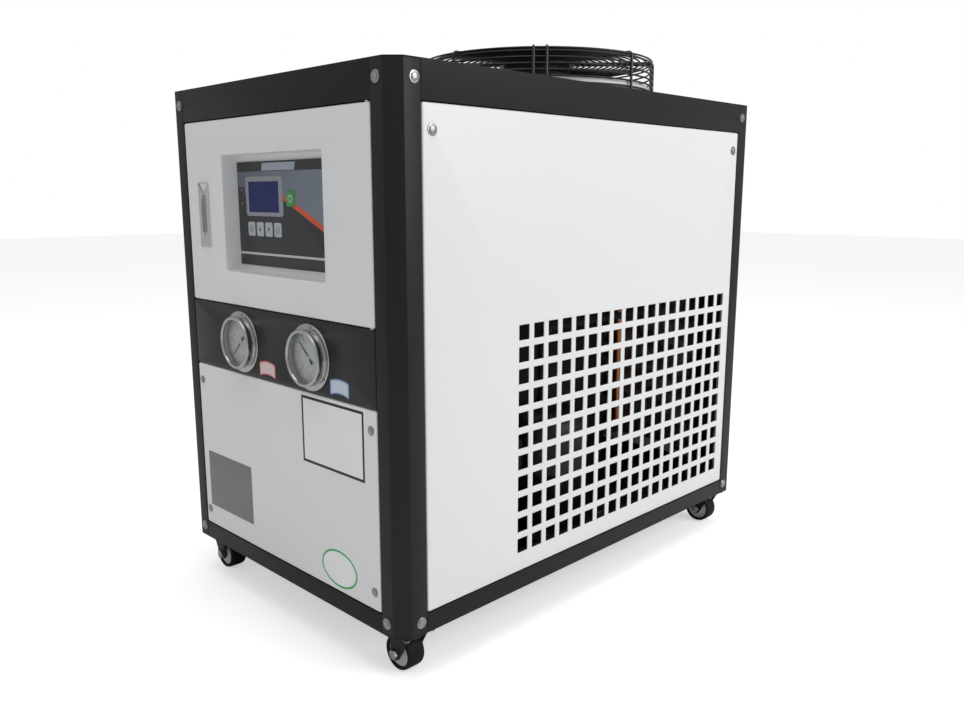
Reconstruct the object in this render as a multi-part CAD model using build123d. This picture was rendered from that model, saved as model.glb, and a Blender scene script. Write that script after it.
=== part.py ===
from build123d import *
import math
import os

os.makedirs("parts", exist_ok=True)

# Millimetres. X is to the right of a person at the front, Y to the back, Z up from the floor.

# Round pieces are drawn with flat sides, and only bores for other makers' pieces are true circles
small_sides = 8
round_sides = 16
large_sides = 28
small_radius = 16.0
large_radius = 100.0

# Cabinet and its folded sheet
cabinet_width = 520.0
cabinet_depth = 800.0
cabinet_height = 690.0
sheet = 1.5
seam = 0.3
panel_gap = 1.5
panel_depth = 16.0
panel_corner = 2.0
lip_width = 22.0
top_rail = 45.5
base_rail = 25.5
base_sheet = 2.0

# Corner posts
post_front = 38.5
post_side = 41.7
post_chamfer = 16.7
post_wall = 2.0

# Front panels, from the top: door, gauge panel, lower panel
door_height = 257.5
door_depth = 10.0
gauge_panel_height = 96.7

# Door pivots
pivot_radius = 2.0
pivot_length = 11.0
pivot_inset = 8.0
pivot_depth = 4.0
pivot_collar_radius = 3.2
running_clearance = 0.05
free_clearance = 0.3

# Door pull and its magnet
pull_width = 28.0
pull_height = 93.0
pull_proud = 2.0
pull_offset = 2.25
pull_drop = 3.2
cup_width = 15.0
cup_height = 58.0
cup_depth = 9.0
cup_wall = 1.2
magnet_width = 16.0
magnet_height = 44.0

# Sunk tray in the door, and the controller in it
tray_width = 242.0
tray_height = 161.0
tray_depth = 25.0
tray_corner = 4.0
tray_offset = 2.5
tray_rise = 47.6
fascia_border_side = 4.6
fascia_border_level = 9.0
fascia_thickness = 3.0
housing_margin = 8.0
housing_depth = 38.0
key_width = 17.8
key_height = 19.6
key_pitch = 22.3
key_corner = 2.5
key_proud = 0.8
key_travel = 0.7
key_clearance = 0.3
first_key_x = -79.8
keys_above_face_bottom = 51.0
power_key_x = 20.3
power_key_rise = 93.0
power_key_width = 19.3
power_key_height = 20.9
display_width = 76.0
display_height = 41.5
display_x = -46.0
display_rise = 95.0
display_clearance = 0.1
lamp_radius = 1.2
lamp_x = -102.3
lamp_rises = (86.0, 104.0)

# Pressure gauges
gauge_spacing = 169.5
gauge_drop = 1.8
gauge_reach = 14.0
gauge_flange_radius = 44.0
gauge_flange = 2.0
gauge_barrel_radius = 37.5
gauge_cup_radius = 34.5
gauge_barrel_depth = 20.0
gauge_lip = 2.0
gauge_lip_depth = 1.0
gauge_stem_radius = 7.0
gauge_stem_length = 22.0
gauge_hole_clearance = 0.5
dial_thickness = 1.0
dial_depth = 16.0
lens_thickness = 1.5
needle_length = 27.0
needle_tail = 11.0
needle_width = 2.4
needle_thickness = 0.8
needle_hub_radius = 3.2
needle_arbor_radius = 1.4
needle_lift = 2.2
left_needle_angle = 225.0
right_needle_angle = 136.0

# Perforated grille in the right panel
grille_hole = 20.5
grille_pitch = 29.75
grille_first_hole = 218.0
grille_last_hole = 75.7
grille_rows = 11
grille_rise = 212.9

# Fan on the top
fan_from_rear = 267.0
collar_radius = 190.0
collar_wall = 3.0
collar_height = 24.0
collar_below = 22.0
collar_flange = 10.0
collar_flange_thickness = 2.0
collar_hole_clearance = 0.5
guard_radius = 193.5
guard_wire = 3.0
guard_height = 67.0
guard_side_rings = 4
guard_top_rings = 3
guard_inner_radius = 62.0
guard_ring_sides = 20
guard_pair_spread = 20.0
stator_radius = 56.0
stator_height = 11.0
shaft_radius = 6.0
rotor_radius = 54.0
rotor_height = 58.0
rotor_gap = 1.5
rotor_wall = 4.0
blade_count = 5
first_blade_angle = 18.0
blade_tip_gap = 5.0
blade_root_chord = 62.0
blade_tip_chord = 104.0
blade_sweep = 18.0
blade_pitch = 27.0
blade_thickness = 2.2
blade_camber = 7.0
blade_overlap = 3.0

# Casters
caster_height = 60.0
caster_from_side = 32.0
caster_from_end = 38.0
caster_trail = 8.0
caster_plate = 56.0
caster_plate_corner = 6.0
caster_plate_thickness = 3.0
race_radius = 20.0
race_height = 4.7
kingpin_radius = 4.0
fork_top = 2.5
fork_wall = 3.0
fork_side_gap = 1.0
wheel_radius = 24.0
hub_radius = 19.0
tyre_width = 27.0
tyre_chamfer = 3.0
hub_width = 25.0
web_width = 20.0
hub_boss_radius = 8.0
axle_radius = 4.0
axle_head_radius = 7.0
axle_head = 4.5
fork_foot_radius = 9.0
fork_shoulder = 32.0

# Rear panel, its coil opening and its fittings
coil_opening_border = 70.0
coil_opening_rise = 96.0
coil_opening_from_top = 89.0
port_reach = 14.0
port_behind = 17.0
port_bore_radius = 12.1
port_bore_length = 20.0
port_body_radius = 15.0
port_tail_radius = 9.0
port_hexagon_radius = 21.0
port_hexagon = 9.0
port_rise = 64.0
outlet_from_side = 95.0
inlet_from_outlet = 80.0
drain_from_inlet = 70.0
drain_bore_radius = 7.5
drain_body_radius = 10.5
drain_hexagon_radius = 14.0
gland_from_side = 110.0
gland_bore_radius = 6.0
gland_body_radius = 10.0
gland_hexagon_radius = 14.0
gland_behind = 14.0

# Condenser coil
coil_from_left_side = 55.0
coil_from_right_side = 52.0
coil_rise = 77.0
coil_from_top = 68.0
coil_behind = 22.0
coil_thickness = 33.0
coil_fins = 20
coil_fin_thickness = 3.0
coil_groove = 6.0
coil_end_plate = 2.0
coil_end_overhang = 3.0

# Copper line
header_radius = 8.0
header_beside_tank = 22.0
header_gap = 12.0
header_above_coil_bottom = 18.0
header_below_coil_top = 102.0
header_stubs = 5
stub_radius = 4.5
discharge_radius = 6.0
discharge_bend = 28.0
discharge_rise = 330.0

# Compressor
compressor_from_side = 138.0
compressor_from_rear = 386.0
compressor_radius = 76.0
compressor_height = 186.0
compressor_dome = 34.0
compressor_plate = 176.0
compressor_plate_corner = 20.0
compressor_plate_thickness = 4.0
grommet_radius = 13.0
grommet_height = 12.0
grommet_spacing = 138.0
compressor_stub = 14.0
compressor_stub_wall = 2.0

# Water tank
tank_from_side = 32.0
tank_beside_compressor = 14.0
tank_behind_pump = 135.0
tank_from_rear = 78.0
tank_height = 405.0
tank_corner = 14.0
tank_lid_thickness = 6.0
tank_lid_overhang = 4.0
tank_cap_radius = 32.0
tank_cap_height = 16.0

# Circulation pump
pump_from_side = 140.0
pump_from_front = 185.0
pump_rise = 62.0
pump_motor_radius = 42.0
pump_motor_length = 118.0
pump_volute_radius = 50.0
pump_volute_length = 34.0
pump_foot_width = 76.0
pump_foot_length = 90.0
pump_foot_height = 8.0
pump_outlet_radius = 13.0
pump_outlet_height = 36.0

# Electrics behind the door
electrics_from_side = 46.0
electrics_depth = 132.0
electrics_clear = 6.0
rail_height = 35.0
rail_depth = 7.5
module_sizes = ((74.0, 84.0, 58.0), (45.0, 74.0, 50.0), (45.0, 74.0, 50.0), (110.0, 60.0, 42.0))

# Screws: hexagonal heads
screw_radius = 7.6
small_screw_radius = 6.4
screw_head = 2.6
screw_level_top = 21.5
screw_level_base = 17.0
post_screw_from_side = 28.7
post_screw_from_end = 32.0
side_screw_from_end = 58.0
high_screw_drop = 77.0
left_screw_rise = 97.0
front_screw_from_side = 51.0
front_screw_rise = 51.4
front_screw_drop = 25.6
rear_screw_from_side = 54.0
rear_screw_rise = 60.0

# Places that follow from the sizes above
half_width = cabinet_width / 2
half_depth = cabinet_depth / 2
base_z = caster_height
top_z = base_z + cabinet_height
floor_z = base_z + base_sheet
post_x = half_width - post_front
post_y = half_depth - post_side
panel_x = post_x - panel_gap
panel_y = post_y - panel_gap
low_z = base_z + base_rail + panel_gap
high_z = top_z - top_rail - panel_gap
door_bottom = high_z - door_height
gauge_panel_top = door_bottom - panel_gap
gauge_panel_bottom = gauge_panel_top - gauge_panel_height
lower_panel_top = gauge_panel_bottom - panel_gap
front_y = -half_depth
gauge_z = (gauge_panel_top + gauge_panel_bottom) / 2 - gauge_drop
tray_z = door_bottom + tray_rise + tray_height / 2
tray_floor_y = front_y + tray_depth
fascia_width = tray_width - 2 * fascia_border_side
fascia_height = tray_height - 2 * fascia_border_level
fascia_bottom = tray_z - fascia_height / 2
fascia_y = tray_floor_y - fascia_thickness
fan_y = half_depth - fan_from_rear
grille_run = cabinet_depth - grille_first_hole - grille_last_hole
grille_columns = int(grille_run / grille_pitch) + 1
grille_centre_y = half_depth - grille_last_hole - grille_pitch * (grille_columns - 1) / 2
outlet_x = outlet_from_side - half_width
inlet_x = outlet_x + inlet_from_outlet
drain_x = inlet_x + drain_from_inlet
gland_x = half_width - gland_from_side
coil_left = coil_from_left_side - half_width
coil_right = half_width - coil_from_right_side
coil_bottom = base_z + coil_rise
coil_top = top_z - coil_from_top
coil_back = half_depth - coil_behind
coil_front = coil_back - coil_thickness
header_y = coil_front - header_gap
header_bottom = coil_bottom + header_above_coil_bottom
header_top = coil_top - header_below_coil_top
compressor_x = half_width - compressor_from_side
compressor_y = half_depth - compressor_from_rear
pump_x = pump_from_side - half_width
pump_y = front_y + pump_from_front
tank_left = tank_from_side - half_width
tank_right = compressor_x - compressor_plate / 2 - tank_beside_compressor
tank_front = pump_y + tank_behind_pump
tank_back = half_depth - tank_from_rear
header_x = tank_right + header_beside_tank


def save(name, *solids):
    shape = solids[0] if len(solids) == 1 else Compound(children=list(solids))
    export_step(shape, f"parts/{name}.step")


def sides_for(radius):
    if radius > large_radius:
        return large_sides
    return round_sides if radius > small_radius else small_sides


def round_bar(radius):
    return RegularPolygon(radius, sides_for(radius))


def round_hole(radius, turn=0.0):
    # The flats, not the corners, lie at this radius
    return Rot(0, 0, turn) * RegularPolygon(radius, sides_for(radius), major_radius=False)


def running_hole(radius):
    # A hole for a turning shaft, whose corners face the hole's flats
    clear = radius + running_clearance
    return round_hole(clear, 180 / sides_for(clear))


def cornered(width, height, corner):
    # A rectangle with its corners cut off
    x = width / 2
    y = height / 2
    points = [(x, corner - y), (x, y - corner), (x - corner, y), (corner - x, y),
              (-x, y - corner), (-x, corner - y), (corner - x, -y), (x - corner, -y)]
    return make_face(Polyline(points, close=True))


def rect(low_a, high_a, low_b, high_b, corner=0.0):
    middle = Pos((low_a + high_a) / 2, (low_b + high_b) / 2)
    if corner > 0:
        return middle * cornered(high_a - low_a, high_b - low_b, corner)
    return middle * Rectangle(high_a - low_a, high_b - low_b)


def facing_front(sketch, low_y, high_y):
    # The sketch holds X and Z, and runs from low_y to high_y
    plane = Plane((0, high_y, 0), x_dir=(1, 0, 0), z_dir=(0, -1, 0))
    return extrude(plane * sketch, amount=high_y - low_y)


def facing_side(sketch, low_x, high_x):
    # The sketch holds Y and Z, and runs from low_x to high_x
    plane = Plane((low_x, 0, 0), x_dir=(0, 1, 0), z_dir=(1, 0, 0))
    return extrude(plane * sketch, amount=high_x - low_x)


def facing_up(sketch, low_z, high_z):
    return extrude(Pos(0, 0, low_z) * sketch, amount=high_z - low_z)


def block(low_x, high_x, low_y, high_y, low_z, high_z):
    return facing_up(rect(low_x, high_x, low_y, high_y), low_z, high_z)


def disc(x, z, radius, low_y, high_y):
    return facing_front(Pos(x, z) * round_bar(radius), low_y, high_y)


def disc_hole(x, z, radius, low_y, high_y):
    return facing_front(Pos(x, z) * round_hole(radius), low_y, high_y)


def rod(x, y, radius, low_z, high_z):
    return facing_up(Pos(x, y) * round_bar(radius), low_z, high_z)


def rod_hole(x, y, radius, low_z, high_z):
    return facing_up(Pos(x, y) * round_hole(radius), low_z, high_z)


# Frame

def cabinet_outline(inset=0.0):
    x = half_width - inset
    y = half_depth - inset
    corner = post_chamfer - inset * (2 - math.sqrt(2))
    points = [(x, y - corner), (x - corner, y), (corner - x, y), (-x, y - corner),
              (-x, corner - y), (corner - x, -y), (x - corner, -y), (x, corner - y)]
    return make_face(Polyline(points, close=True))


def corner_post(side_x, side_y):
    points = [(post_x, half_depth), (half_width - post_chamfer, half_depth),
              (half_width, half_depth - post_chamfer), (half_width, post_y), (post_x, post_y)]
    outline = make_face(Polyline([(side_x * x, side_y * y) for x, y in points], close=True))
    hollow = offset(outline, amount=-post_wall, kind=Kind.INTERSECTION)
    tube = facing_up(outline - hollow, floor_z, top_z - sheet)
    lip_low = base_z + base_rail + lip_width + seam
    lip_high = top_z - top_rail - lip_width - seam
    seat = panel_depth
    ends_x = sorted((side_x * (post_x - lip_width), side_x * post_x))
    ends_y = sorted((side_y * (half_depth - seat - post_wall), side_y * (half_depth - seat)))
    front_lip = block(*ends_x, *ends_y, lip_low, lip_high)
    ends_x = sorted((side_x * (half_width - seat - post_wall), side_x * (half_width - seat)))
    ends_y = sorted((side_y * (post_y - lip_width), side_y * post_y))
    side_lip = block(*ends_x, *ends_y, lip_low, lip_high)
    return tube + front_lip + side_lip


def rail(length, height):
    # A folded rail along X with its outer face at y = 0, from z = 0 up to the panels
    seat = panel_depth
    points = [(0, 0), (sheet, 0), (sheet, height - sheet), (seat + sheet, height - sheet),
              (seat + sheet, height + lip_width), (seat, height + lip_width), (seat, height), (0, height)]
    return facing_side(make_face(Polyline(points, close=True)), -length / 2, length / 2)


def four_rails(height):
    across = rail(2 * (post_x - seam), height)
    along = rail(2 * (post_y - seam), height)
    return (Pos(0, -half_depth) * across + Pos(0, half_depth) * Rot(0, 0, 180) * across
            + Pos(half_width, 0) * Rot(0, 0, 90) * along + Pos(-half_width, 0) * Rot(0, 0, -90) * along)


def base_pan():
    rails = Pos(0, 0, base_z) * four_rails(base_rail)
    return facing_up(cabinet_outline(), base_z, floor_z) + rails


def top_cover():
    rails = mirror(four_rails(top_rail), Plane.XY)
    plate = facing_up(cabinet_outline(), top_z - sheet, top_z)
    opening = rod_hole(0, fan_y, collar_radius + collar_hole_clearance, top_z - 2 * sheet, top_z + sheet)
    cover = plate + Pos(0, 0, top_z) * rails - opening
    return cover - pivot_hole(top_z - top_rail, top_z - top_rail + sheet, round_bar(pivot_radius))


# Panels

def front_tray(low_x, high_x, low_z, high_z, outside, depth, inward=1):
    inside = outside + inward * depth
    skin = outside + inward * sheet
    whole = facing_front(rect(low_x, high_x, low_z, high_z, panel_corner), *sorted((outside, inside)))
    inner = rect(low_x + sheet, high_x - sheet, low_z + sheet, high_z - sheet)
    return whole - facing_front(inner, *sorted((skin, inside)))


def side_tray(side):
    outside = side * half_width
    inside = side * (half_width - panel_depth)
    skin = side * (half_width - sheet)
    whole = facing_side(rect(-panel_y, panel_y, low_z, high_z, panel_corner), *sorted((outside, inside)))
    inner = rect(sheet - panel_y, panel_y - sheet, low_z + sheet, high_z - sheet)
    return whole - facing_side(inner, *sorted((skin, inside)))


def right_side_panel():
    hole = Rectangle(grille_hole, grille_hole)
    holes = GridLocations(grille_pitch, grille_pitch, grille_columns, grille_rows) * hole
    pattern = Pos(grille_centre_y, base_z + grille_rise) * (Sketch() + holes)
    return side_tray(1) - facing_side(pattern, half_width - 2 * sheet, half_width + sheet)


def gauge_panel():
    height = gauge_panel_height
    folds = [(0, 0), (panel_depth, 0), (panel_depth, sheet), (sheet, sheet), (sheet, height - sheet),
             (panel_depth, height - sheet), (panel_depth, height), (0, height)]
    channel = facing_side(make_face(Polyline(folds, close=True)), -panel_x, panel_x)
    half_lip = post_x - lip_width - seam
    seat = panel_depth
    upper = block(-half_lip, half_lip, seat, seat + sheet, height - sheet, height + lip_width)
    lower = block(-half_lip, half_lip, seat, seat + sheet, -lip_width, sheet)
    panel = Pos(0, front_y, gauge_panel_bottom) * (channel + upper + lower)
    for side in (-1, 1):
        hole = gauge_barrel_radius + gauge_hole_clearance
        panel -= disc_hole(side * gauge_spacing / 2, gauge_z, hole, front_y - sheet, front_y + 2 * sheet)
    return panel - pivot_hole(gauge_panel_top - sheet, gauge_panel_top, round_bar(pivot_radius))


def hexagon_port(x, z, bore, body, hexagon):
    # A bulkhead socket through the rear panel, with its tail running to the tank
    outer = half_depth + port_reach
    inner = half_depth - port_behind
    port = facing_front(Pos(x, z) * RegularPolygon(hexagon, 6), half_depth, half_depth + port_hexagon)
    port += disc(x, z, body, inner, outer) + disc(x, z, port_tail_radius, tank_back, inner)
    return port - facing_front(Pos(x, z) * Circle(bore), outer - port_bore_length, outer)


def rear_panel():
    panel = front_tray(-panel_x, panel_x, low_z, high_z, half_depth, panel_depth, -1)
    half = half_width - coil_opening_border
    window = rect(-half, half, base_z + coil_opening_rise, top_z - coil_opening_from_top)
    panel -= facing_front(window, half_depth - 2 * sheet, half_depth + sheet)
    holes = ((outlet_x, port_body_radius), (inlet_x, port_body_radius),
             (drain_x, drain_body_radius), (gland_x, gland_body_radius))
    for x, radius in holes:
        panel -= disc_hole(x, base_z + port_rise, radius, half_depth - 2 * sheet, half_depth + sheet)
    return panel


# Door and controller

def pivot_hole(low_z, high_z, hole):
    place = Pos(panel_x - pivot_inset, front_y + pivot_depth)
    return facing_up(place * hole, low_z - sheet / 2, high_z + sheet / 2)


def door_panel():
    panel = front_tray(-panel_x, panel_x, door_bottom, high_z, front_y, door_depth)
    centre_x = tray_offset
    opening = Pos(centre_x, tray_z) * cornered(tray_width, tray_height, tray_corner)
    outside = Pos(centre_x, tray_z) * Rectangle(tray_width + 2 * sheet, tray_height + 2 * sheet)
    panel += facing_front(outside, front_y, tray_floor_y + sheet)
    panel -= facing_front(opening, front_y - sheet, tray_floor_y)
    margins = 2 * housing_margin
    cut = Pos(centre_x, tray_z) * Rectangle(fascia_width - margins, fascia_height - margins)
    panel -= facing_front(cut, tray_floor_y - sheet, tray_floor_y + 2 * sheet)
    panel -= facing_front(pull_outline(cup_wall), front_y - sheet, front_y + 2 * sheet)
    panel -= pivot_hole(high_z - sheet, high_z, running_hole(pivot_radius))
    return panel - pivot_hole(door_bottom, door_bottom + sheet, running_hole(pivot_radius))


def pull_place():
    tray_left = tray_offset - tray_width / 2
    x = (tray_left - panel_x) / 2 - pull_offset
    return Pos(x, (door_bottom + high_z) / 2 - pull_drop)


def pull_outline(grow=0.0):
    half = (cup_height - cup_width) / 2
    ends = [Pos(0, end) * round_hole(cup_width / 2 + grow) for end in (-half, half)]
    return pull_place() * (ends[0] + ends[1] + Rectangle(cup_width + 2 * grow, 2 * half))


def door_pull():
    plate_outline = pull_place() * cornered(pull_width, pull_height, sheet)
    plate = facing_front(plate_outline, front_y - pull_proud, front_y)
    cup = facing_front(pull_outline(cup_wall), front_y, front_y + cup_depth)
    hollow = facing_front(pull_outline(), front_y - pull_proud, front_y + cup_depth - cup_wall)
    return plate + cup - hollow


def door_magnet():
    low_x = -(post_x - free_clearance)
    middle = (door_bottom + high_z) / 2
    low_y = front_y + door_depth + free_clearance
    return block(low_x + panel_gap, low_x + panel_gap + magnet_width, low_y, front_y + panel_depth,
                 middle - magnet_height / 2, middle + magnet_height / 2)


def hinge_pins():
    x = panel_x - pivot_inset
    y = front_y + pivot_depth
    half = pivot_length / 2
    gaps = ((high_z, high_z + panel_gap), (gauge_panel_top, door_bottom))
    pins = []
    for low, high in gaps:
        middle = (low + high) / 2
        collar = rod(x, y, pivot_collar_radius, low + running_clearance, high - running_clearance)
        pins.append(rod(x, y, pivot_radius, middle - half, middle + half) + collar)
    return pins


def key_centres():
    z = fascia_bottom + keys_above_face_bottom
    return [(first_key_x + number * key_pitch, z) for number in range(4)]


def key_cap(x, z, width, height):
    outline = Pos(x, z) * cornered(width, height, key_corner)
    return facing_front(outline, fascia_y - key_proud, tray_floor_y - key_travel - running_clearance)


def all_keys():
    keys = [(f"key_{number}", x, z, key_width, key_height)
            for number, (x, z) in enumerate(key_centres(), start=1)]
    keys.append(("power_key", power_key_x, fascia_bottom + power_key_rise, power_key_width, power_key_height))
    return keys


def controller_fascia():
    outline = Pos(tray_offset, tray_z) * Rectangle(fascia_width, fascia_height)
    for name, x, z, width, height in all_keys():
        outline -= Pos(x, z) * cornered(width + 2 * key_clearance, height + 2 * key_clearance, key_corner)
    gap = 2 * display_clearance
    display = Rectangle(display_width + gap, display_height + gap)
    outline -= Pos(display_x, fascia_bottom + display_rise) * display
    for rise in lamp_rises:
        outline -= Pos(lamp_x, fascia_bottom + rise) * round_hole(lamp_radius + display_clearance)
    return facing_front(outline, fascia_y, tray_floor_y)


def controller_housing():
    gap = 2 * (housing_margin + free_clearance)
    outline = Pos(tray_offset, tray_z) * Rectangle(fascia_width - gap, fascia_height - gap)
    return facing_front(outline, tray_floor_y, tray_floor_y + housing_depth)


def display_window():
    outline = Pos(display_x, fascia_bottom + display_rise) * Rectangle(display_width, display_height)
    return facing_front(outline, fascia_y + display_clearance, tray_floor_y)


def indicator_lamps():
    return [disc(lamp_x, fascia_bottom + rise, lamp_radius, fascia_y - display_clearance, tray_floor_y)
            for rise in lamp_rises]


# Pressure gauges

def gauge_case(x):
    front = front_y - gauge_reach
    cup_end = front + dial_depth + dial_thickness
    back = front_y + gauge_barrel_depth
    case = disc(x, gauge_z, gauge_barrel_radius, front, back)
    case += disc(x, gauge_z, gauge_flange_radius, front_y - gauge_flange, front_y)
    case += disc(x, gauge_z, gauge_stem_radius, back, back + gauge_stem_length)
    case -= disc(x, gauge_z, gauge_cup_radius - gauge_lip, front, front + gauge_lip_depth)
    return case - disc(x, gauge_z, gauge_cup_radius, front + gauge_lip_depth, cup_end)


def gauge_lens(x):
    front = front_y - gauge_reach + gauge_lip_depth
    return disc(x, gauge_z, gauge_cup_radius - running_clearance, front, front + lens_thickness)


def gauge_dial(x):
    front = front_y - gauge_reach + dial_depth
    dial = disc(x, gauge_z, gauge_cup_radius - running_clearance, front, front + dial_thickness)
    hole = Pos(x, gauge_z) * running_hole(needle_arbor_radius)
    return dial - facing_front(hole, front, front + dial_thickness)


def gauge_needle(x, angle):
    dial_front = front_y - gauge_reach + dial_depth
    front = dial_front - needle_lift - needle_thickness
    points = [(needle_length, 0), (0, needle_width / 2), (-needle_tail, needle_width),
              (-needle_tail, -needle_width), (0, -needle_width / 2)]
    pointer = Rot(0, 0, angle) * make_face(Polyline(points, close=True))
    blade = facing_front(Pos(x, gauge_z) * pointer, front, front + needle_thickness)
    hub = disc(x, gauge_z, needle_hub_radius, front, dial_front - running_clearance)
    return blade + hub + disc(x, gauge_z, needle_arbor_radius, front, dial_front + dial_thickness)


# Fan

def fan_collar():
    inner = collar_radius - collar_wall
    flange_top = top_z + collar_flange_thickness
    wall = rod(0, fan_y, collar_radius, top_z - collar_below, top_z + collar_height)
    flange = rod(0, fan_y, collar_radius + collar_flange, top_z, flange_top)
    return wall + flange - rod(0, fan_y, inner, top_z - collar_below, top_z + collar_height)


def guard_ring(radius, low_z):
    # A ring of square wire with many short sides
    half = guard_wire / 2
    outside, inside = [RegularPolygon(radius + grow, guard_ring_sides, major_radius=False)
                       for grow in (half, -half)]
    return facing_up(Pos(0, fan_y) * (outside - inside), low_z, low_z + guard_wire)


def guard_rib(angle, shift):
    # A bent wire: a leg outside the side rings, then a run across the top rings
    half = guard_wire / 2
    outer = guard_radius
    foot = top_z + collar_flange_thickness
    over = top_z + guard_height
    points = [(outer, foot), (outer + guard_wire, foot), (outer + guard_wire, over + guard_wire),
              (guard_inner_radius, over + guard_wire), (guard_inner_radius, over), (outer, over)]
    bent = extrude(Plane.XZ * make_face(Polyline(points, close=True)), amount=half, both=True)
    return Pos(0, fan_y) * Rot(0, 0, angle) * Pos(0, shift) * bent


def fan_guard():
    low = top_z + collar_flange_thickness + guard_wire
    over = top_z + guard_height
    guard = rod(0, fan_y, guard_inner_radius + guard_wire, over - guard_wire, over)
    rise = (over - guard_wire - low) / guard_side_rings
    rings = [(guard_radius, low + number * rise) for number in range(1, guard_side_rings + 1)]
    step = (guard_radius - guard_inner_radius) / guard_top_rings
    rings += [(guard_radius - number * step, over - guard_wire) for number in range(1, guard_top_rings)]
    for radius, height in rings:
        guard += guard_ring(radius, height)
    for quarter in range(4):
        guard += guard_rib(90 * quarter, 0)
        for side in (-1, 1):
            guard += guard_rib(90 * quarter + 45, side * guard_pair_spread / 2)
    return guard


def stator_bottom():
    return top_z + guard_height - guard_wire - stator_height


def rotor_top():
    return stator_bottom() - rotor_gap


def fan_motor():
    top = top_z + guard_height - guard_wire
    stator = rod(0, fan_y, stator_radius, stator_bottom(), top)
    shaft_end = rotor_top() - rotor_height + rotor_wall
    return stator + rod(0, fan_y, shaft_radius, shaft_end, stator_bottom())


def fan_blade(root, tip):
    # A folded sheet leaning at one pitch, cut wider and swept forward towards its tip
    lean = math.radians(blade_pitch)
    plane = Plane((root, 0, 0), x_dir=(0, math.cos(lean), math.sin(lean)), z_dir=(1, 0, 0))
    lower = [(blade_tip_chord * share, blade_camber * rise)
             for share, rise in ((-0.7, 0), (-0.2, 0.9), (0.2, 0.9), (0.7, 0))]
    upper = [(x, z + blade_thickness) for x, z in reversed(lower)]
    sheet_bent = extrude(plane * make_face(Polyline(lower + upper, close=True)), amount=tip - root)
    root_half = blade_root_chord / 2 * math.cos(lean)
    tip_half = blade_tip_chord / 2 * math.cos(lean)
    outline = make_face(Polyline((root, -root_half), (tip, blade_sweep - tip_half),
                                 (tip, blade_sweep + tip_half), (root, root_half), close=True))
    outline &= RegularPolygon(tip, large_sides)
    return sheet_bent & facing_up(outline, -blade_tip_chord, blade_tip_chord)


def fan_rotor():
    middle = top_z + (collar_height - collar_below) / 2
    tip = collar_radius - collar_wall - blade_tip_gap
    root = rotor_radius - blade_overlap
    top = rotor_top()
    rotor = rod(0, fan_y, rotor_radius, top - rotor_height, top)
    blade = fan_blade(root, tip)
    for number in range(blade_count):
        turn = 360 / blade_count * number + first_blade_angle
        rotor += Pos(0, fan_y, middle) * Rot(0, 0, turn) * blade
    hole_end = top - rotor_height + rotor_wall - free_clearance
    return rotor - facing_up(Pos(0, fan_y) * running_hole(shaft_radius), hole_end, top)


# Casters

def caster_centres():
    x = half_width - caster_from_side
    y = half_depth - caster_from_end
    return [(name, side_x * x, side_y * y, -side_x)
            for name, side_x, side_y in (("front_left", -1, -1), ("front_right", 1, -1),
                                         ("rear_left", -1, 1), ("rear_right", 1, 1))]


def race_bottom():
    return base_z - caster_plate_thickness - race_height


def caster_plates():
    solids = []
    for _, x, y, _ in caster_centres():
        outline = Pos(x, y) * cornered(caster_plate, caster_plate, caster_plate_corner)
        plate = facing_up(outline, base_z - caster_plate_thickness, base_z)
        race = rod(x, y, race_radius, race_bottom(), base_z - caster_plate_thickness)
        kingpin = rod(x, y, kingpin_radius, race_bottom() - free_clearance - fork_top, race_bottom())
        solids.append(plate + race + kingpin)
    return solids


def caster_fork(x, y, toward):
    top = race_bottom() - free_clearance
    half_inner = tyre_width / 2 + fork_side_gap
    half_outer = half_inner + fork_wall
    wheel_x = x + toward * caster_trail
    crown = Pos(x, y) * round_bar(race_radius)
    yoke_end = wheel_x + toward * fork_foot_radius
    crown += rect(*sorted((x, yoke_end)), y - half_outer, y + half_outer)
    fork = facing_up(crown, top - fork_top, top)
    shoulder = Pos(x, top - fork_top / 2) * Rectangle(fork_shoulder, fork_top)
    foot = Pos(wheel_x, wheel_radius) * RegularPolygon(fork_foot_radius, small_sides)
    hull = make_hull(shoulder.edges() + foot.edges())
    for side in (-1, 1):
        ends = sorted((y + side * half_inner, y + side * half_outer))
        fork += facing_front(hull, *ends)
    fork += disc(wheel_x, wheel_radius, axle_radius, y - half_outer, y + half_outer)
    for side in (-1, 1):
        ends = sorted((y + side * half_outer, y + side * (half_outer + axle_head)))
        fork += facing_front(Pos(wheel_x, wheel_radius) * RegularPolygon(axle_head_radius, 6), *ends)
    return fork - facing_up(Pos(x, y) * running_hole(kingpin_radius), top - fork_top, top)


def wheel_hub(x, y):
    hub = disc(x, wheel_radius, hub_radius, y - web_width / 2, y + web_width / 2)
    hub += disc(x, wheel_radius, hub_boss_radius, y - hub_width / 2, y + hub_width / 2)
    bore = Pos(x, wheel_radius) * running_hole(axle_radius)
    return hub - facing_front(bore, y - hub_width / 2, y + hub_width / 2)


def tyre(x, y):
    half = tyre_width / 2
    tread = disc(x, wheel_radius, wheel_radius, y - half, y + half)
    faces = tread.faces().sort_by(Axis.Y)
    tread = chamfer(faces[0].edges() + faces[-1].edges(), tyre_chamfer)
    return tread - disc(x, wheel_radius, hub_radius, y - half, y + half)


# Inside the cabinet

def condenser_coil():
    inner_left = coil_left + coil_end_plate
    inner_right = coil_right - coil_end_plate
    pitch = (inner_right - inner_left) / coil_fins
    core = rect(inner_left, inner_right, coil_front, coil_back)
    for number in range(coil_fins):
        start = inner_left + pitch * number + coil_fin_thickness
        end = inner_left + pitch * (number + 1)
        core -= rect(start, end, coil_front, coil_front + coil_groove)
        core -= rect(start, end, coil_back - coil_groove, coil_back)
    coil = facing_up(core, coil_bottom, coil_top)
    for start, end in ((coil_left, inner_left), (inner_right, coil_right)):
        coil += block(start, end, coil_front - coil_end_overhang, coil_back, floor_z, coil_top)
    return coil


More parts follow.
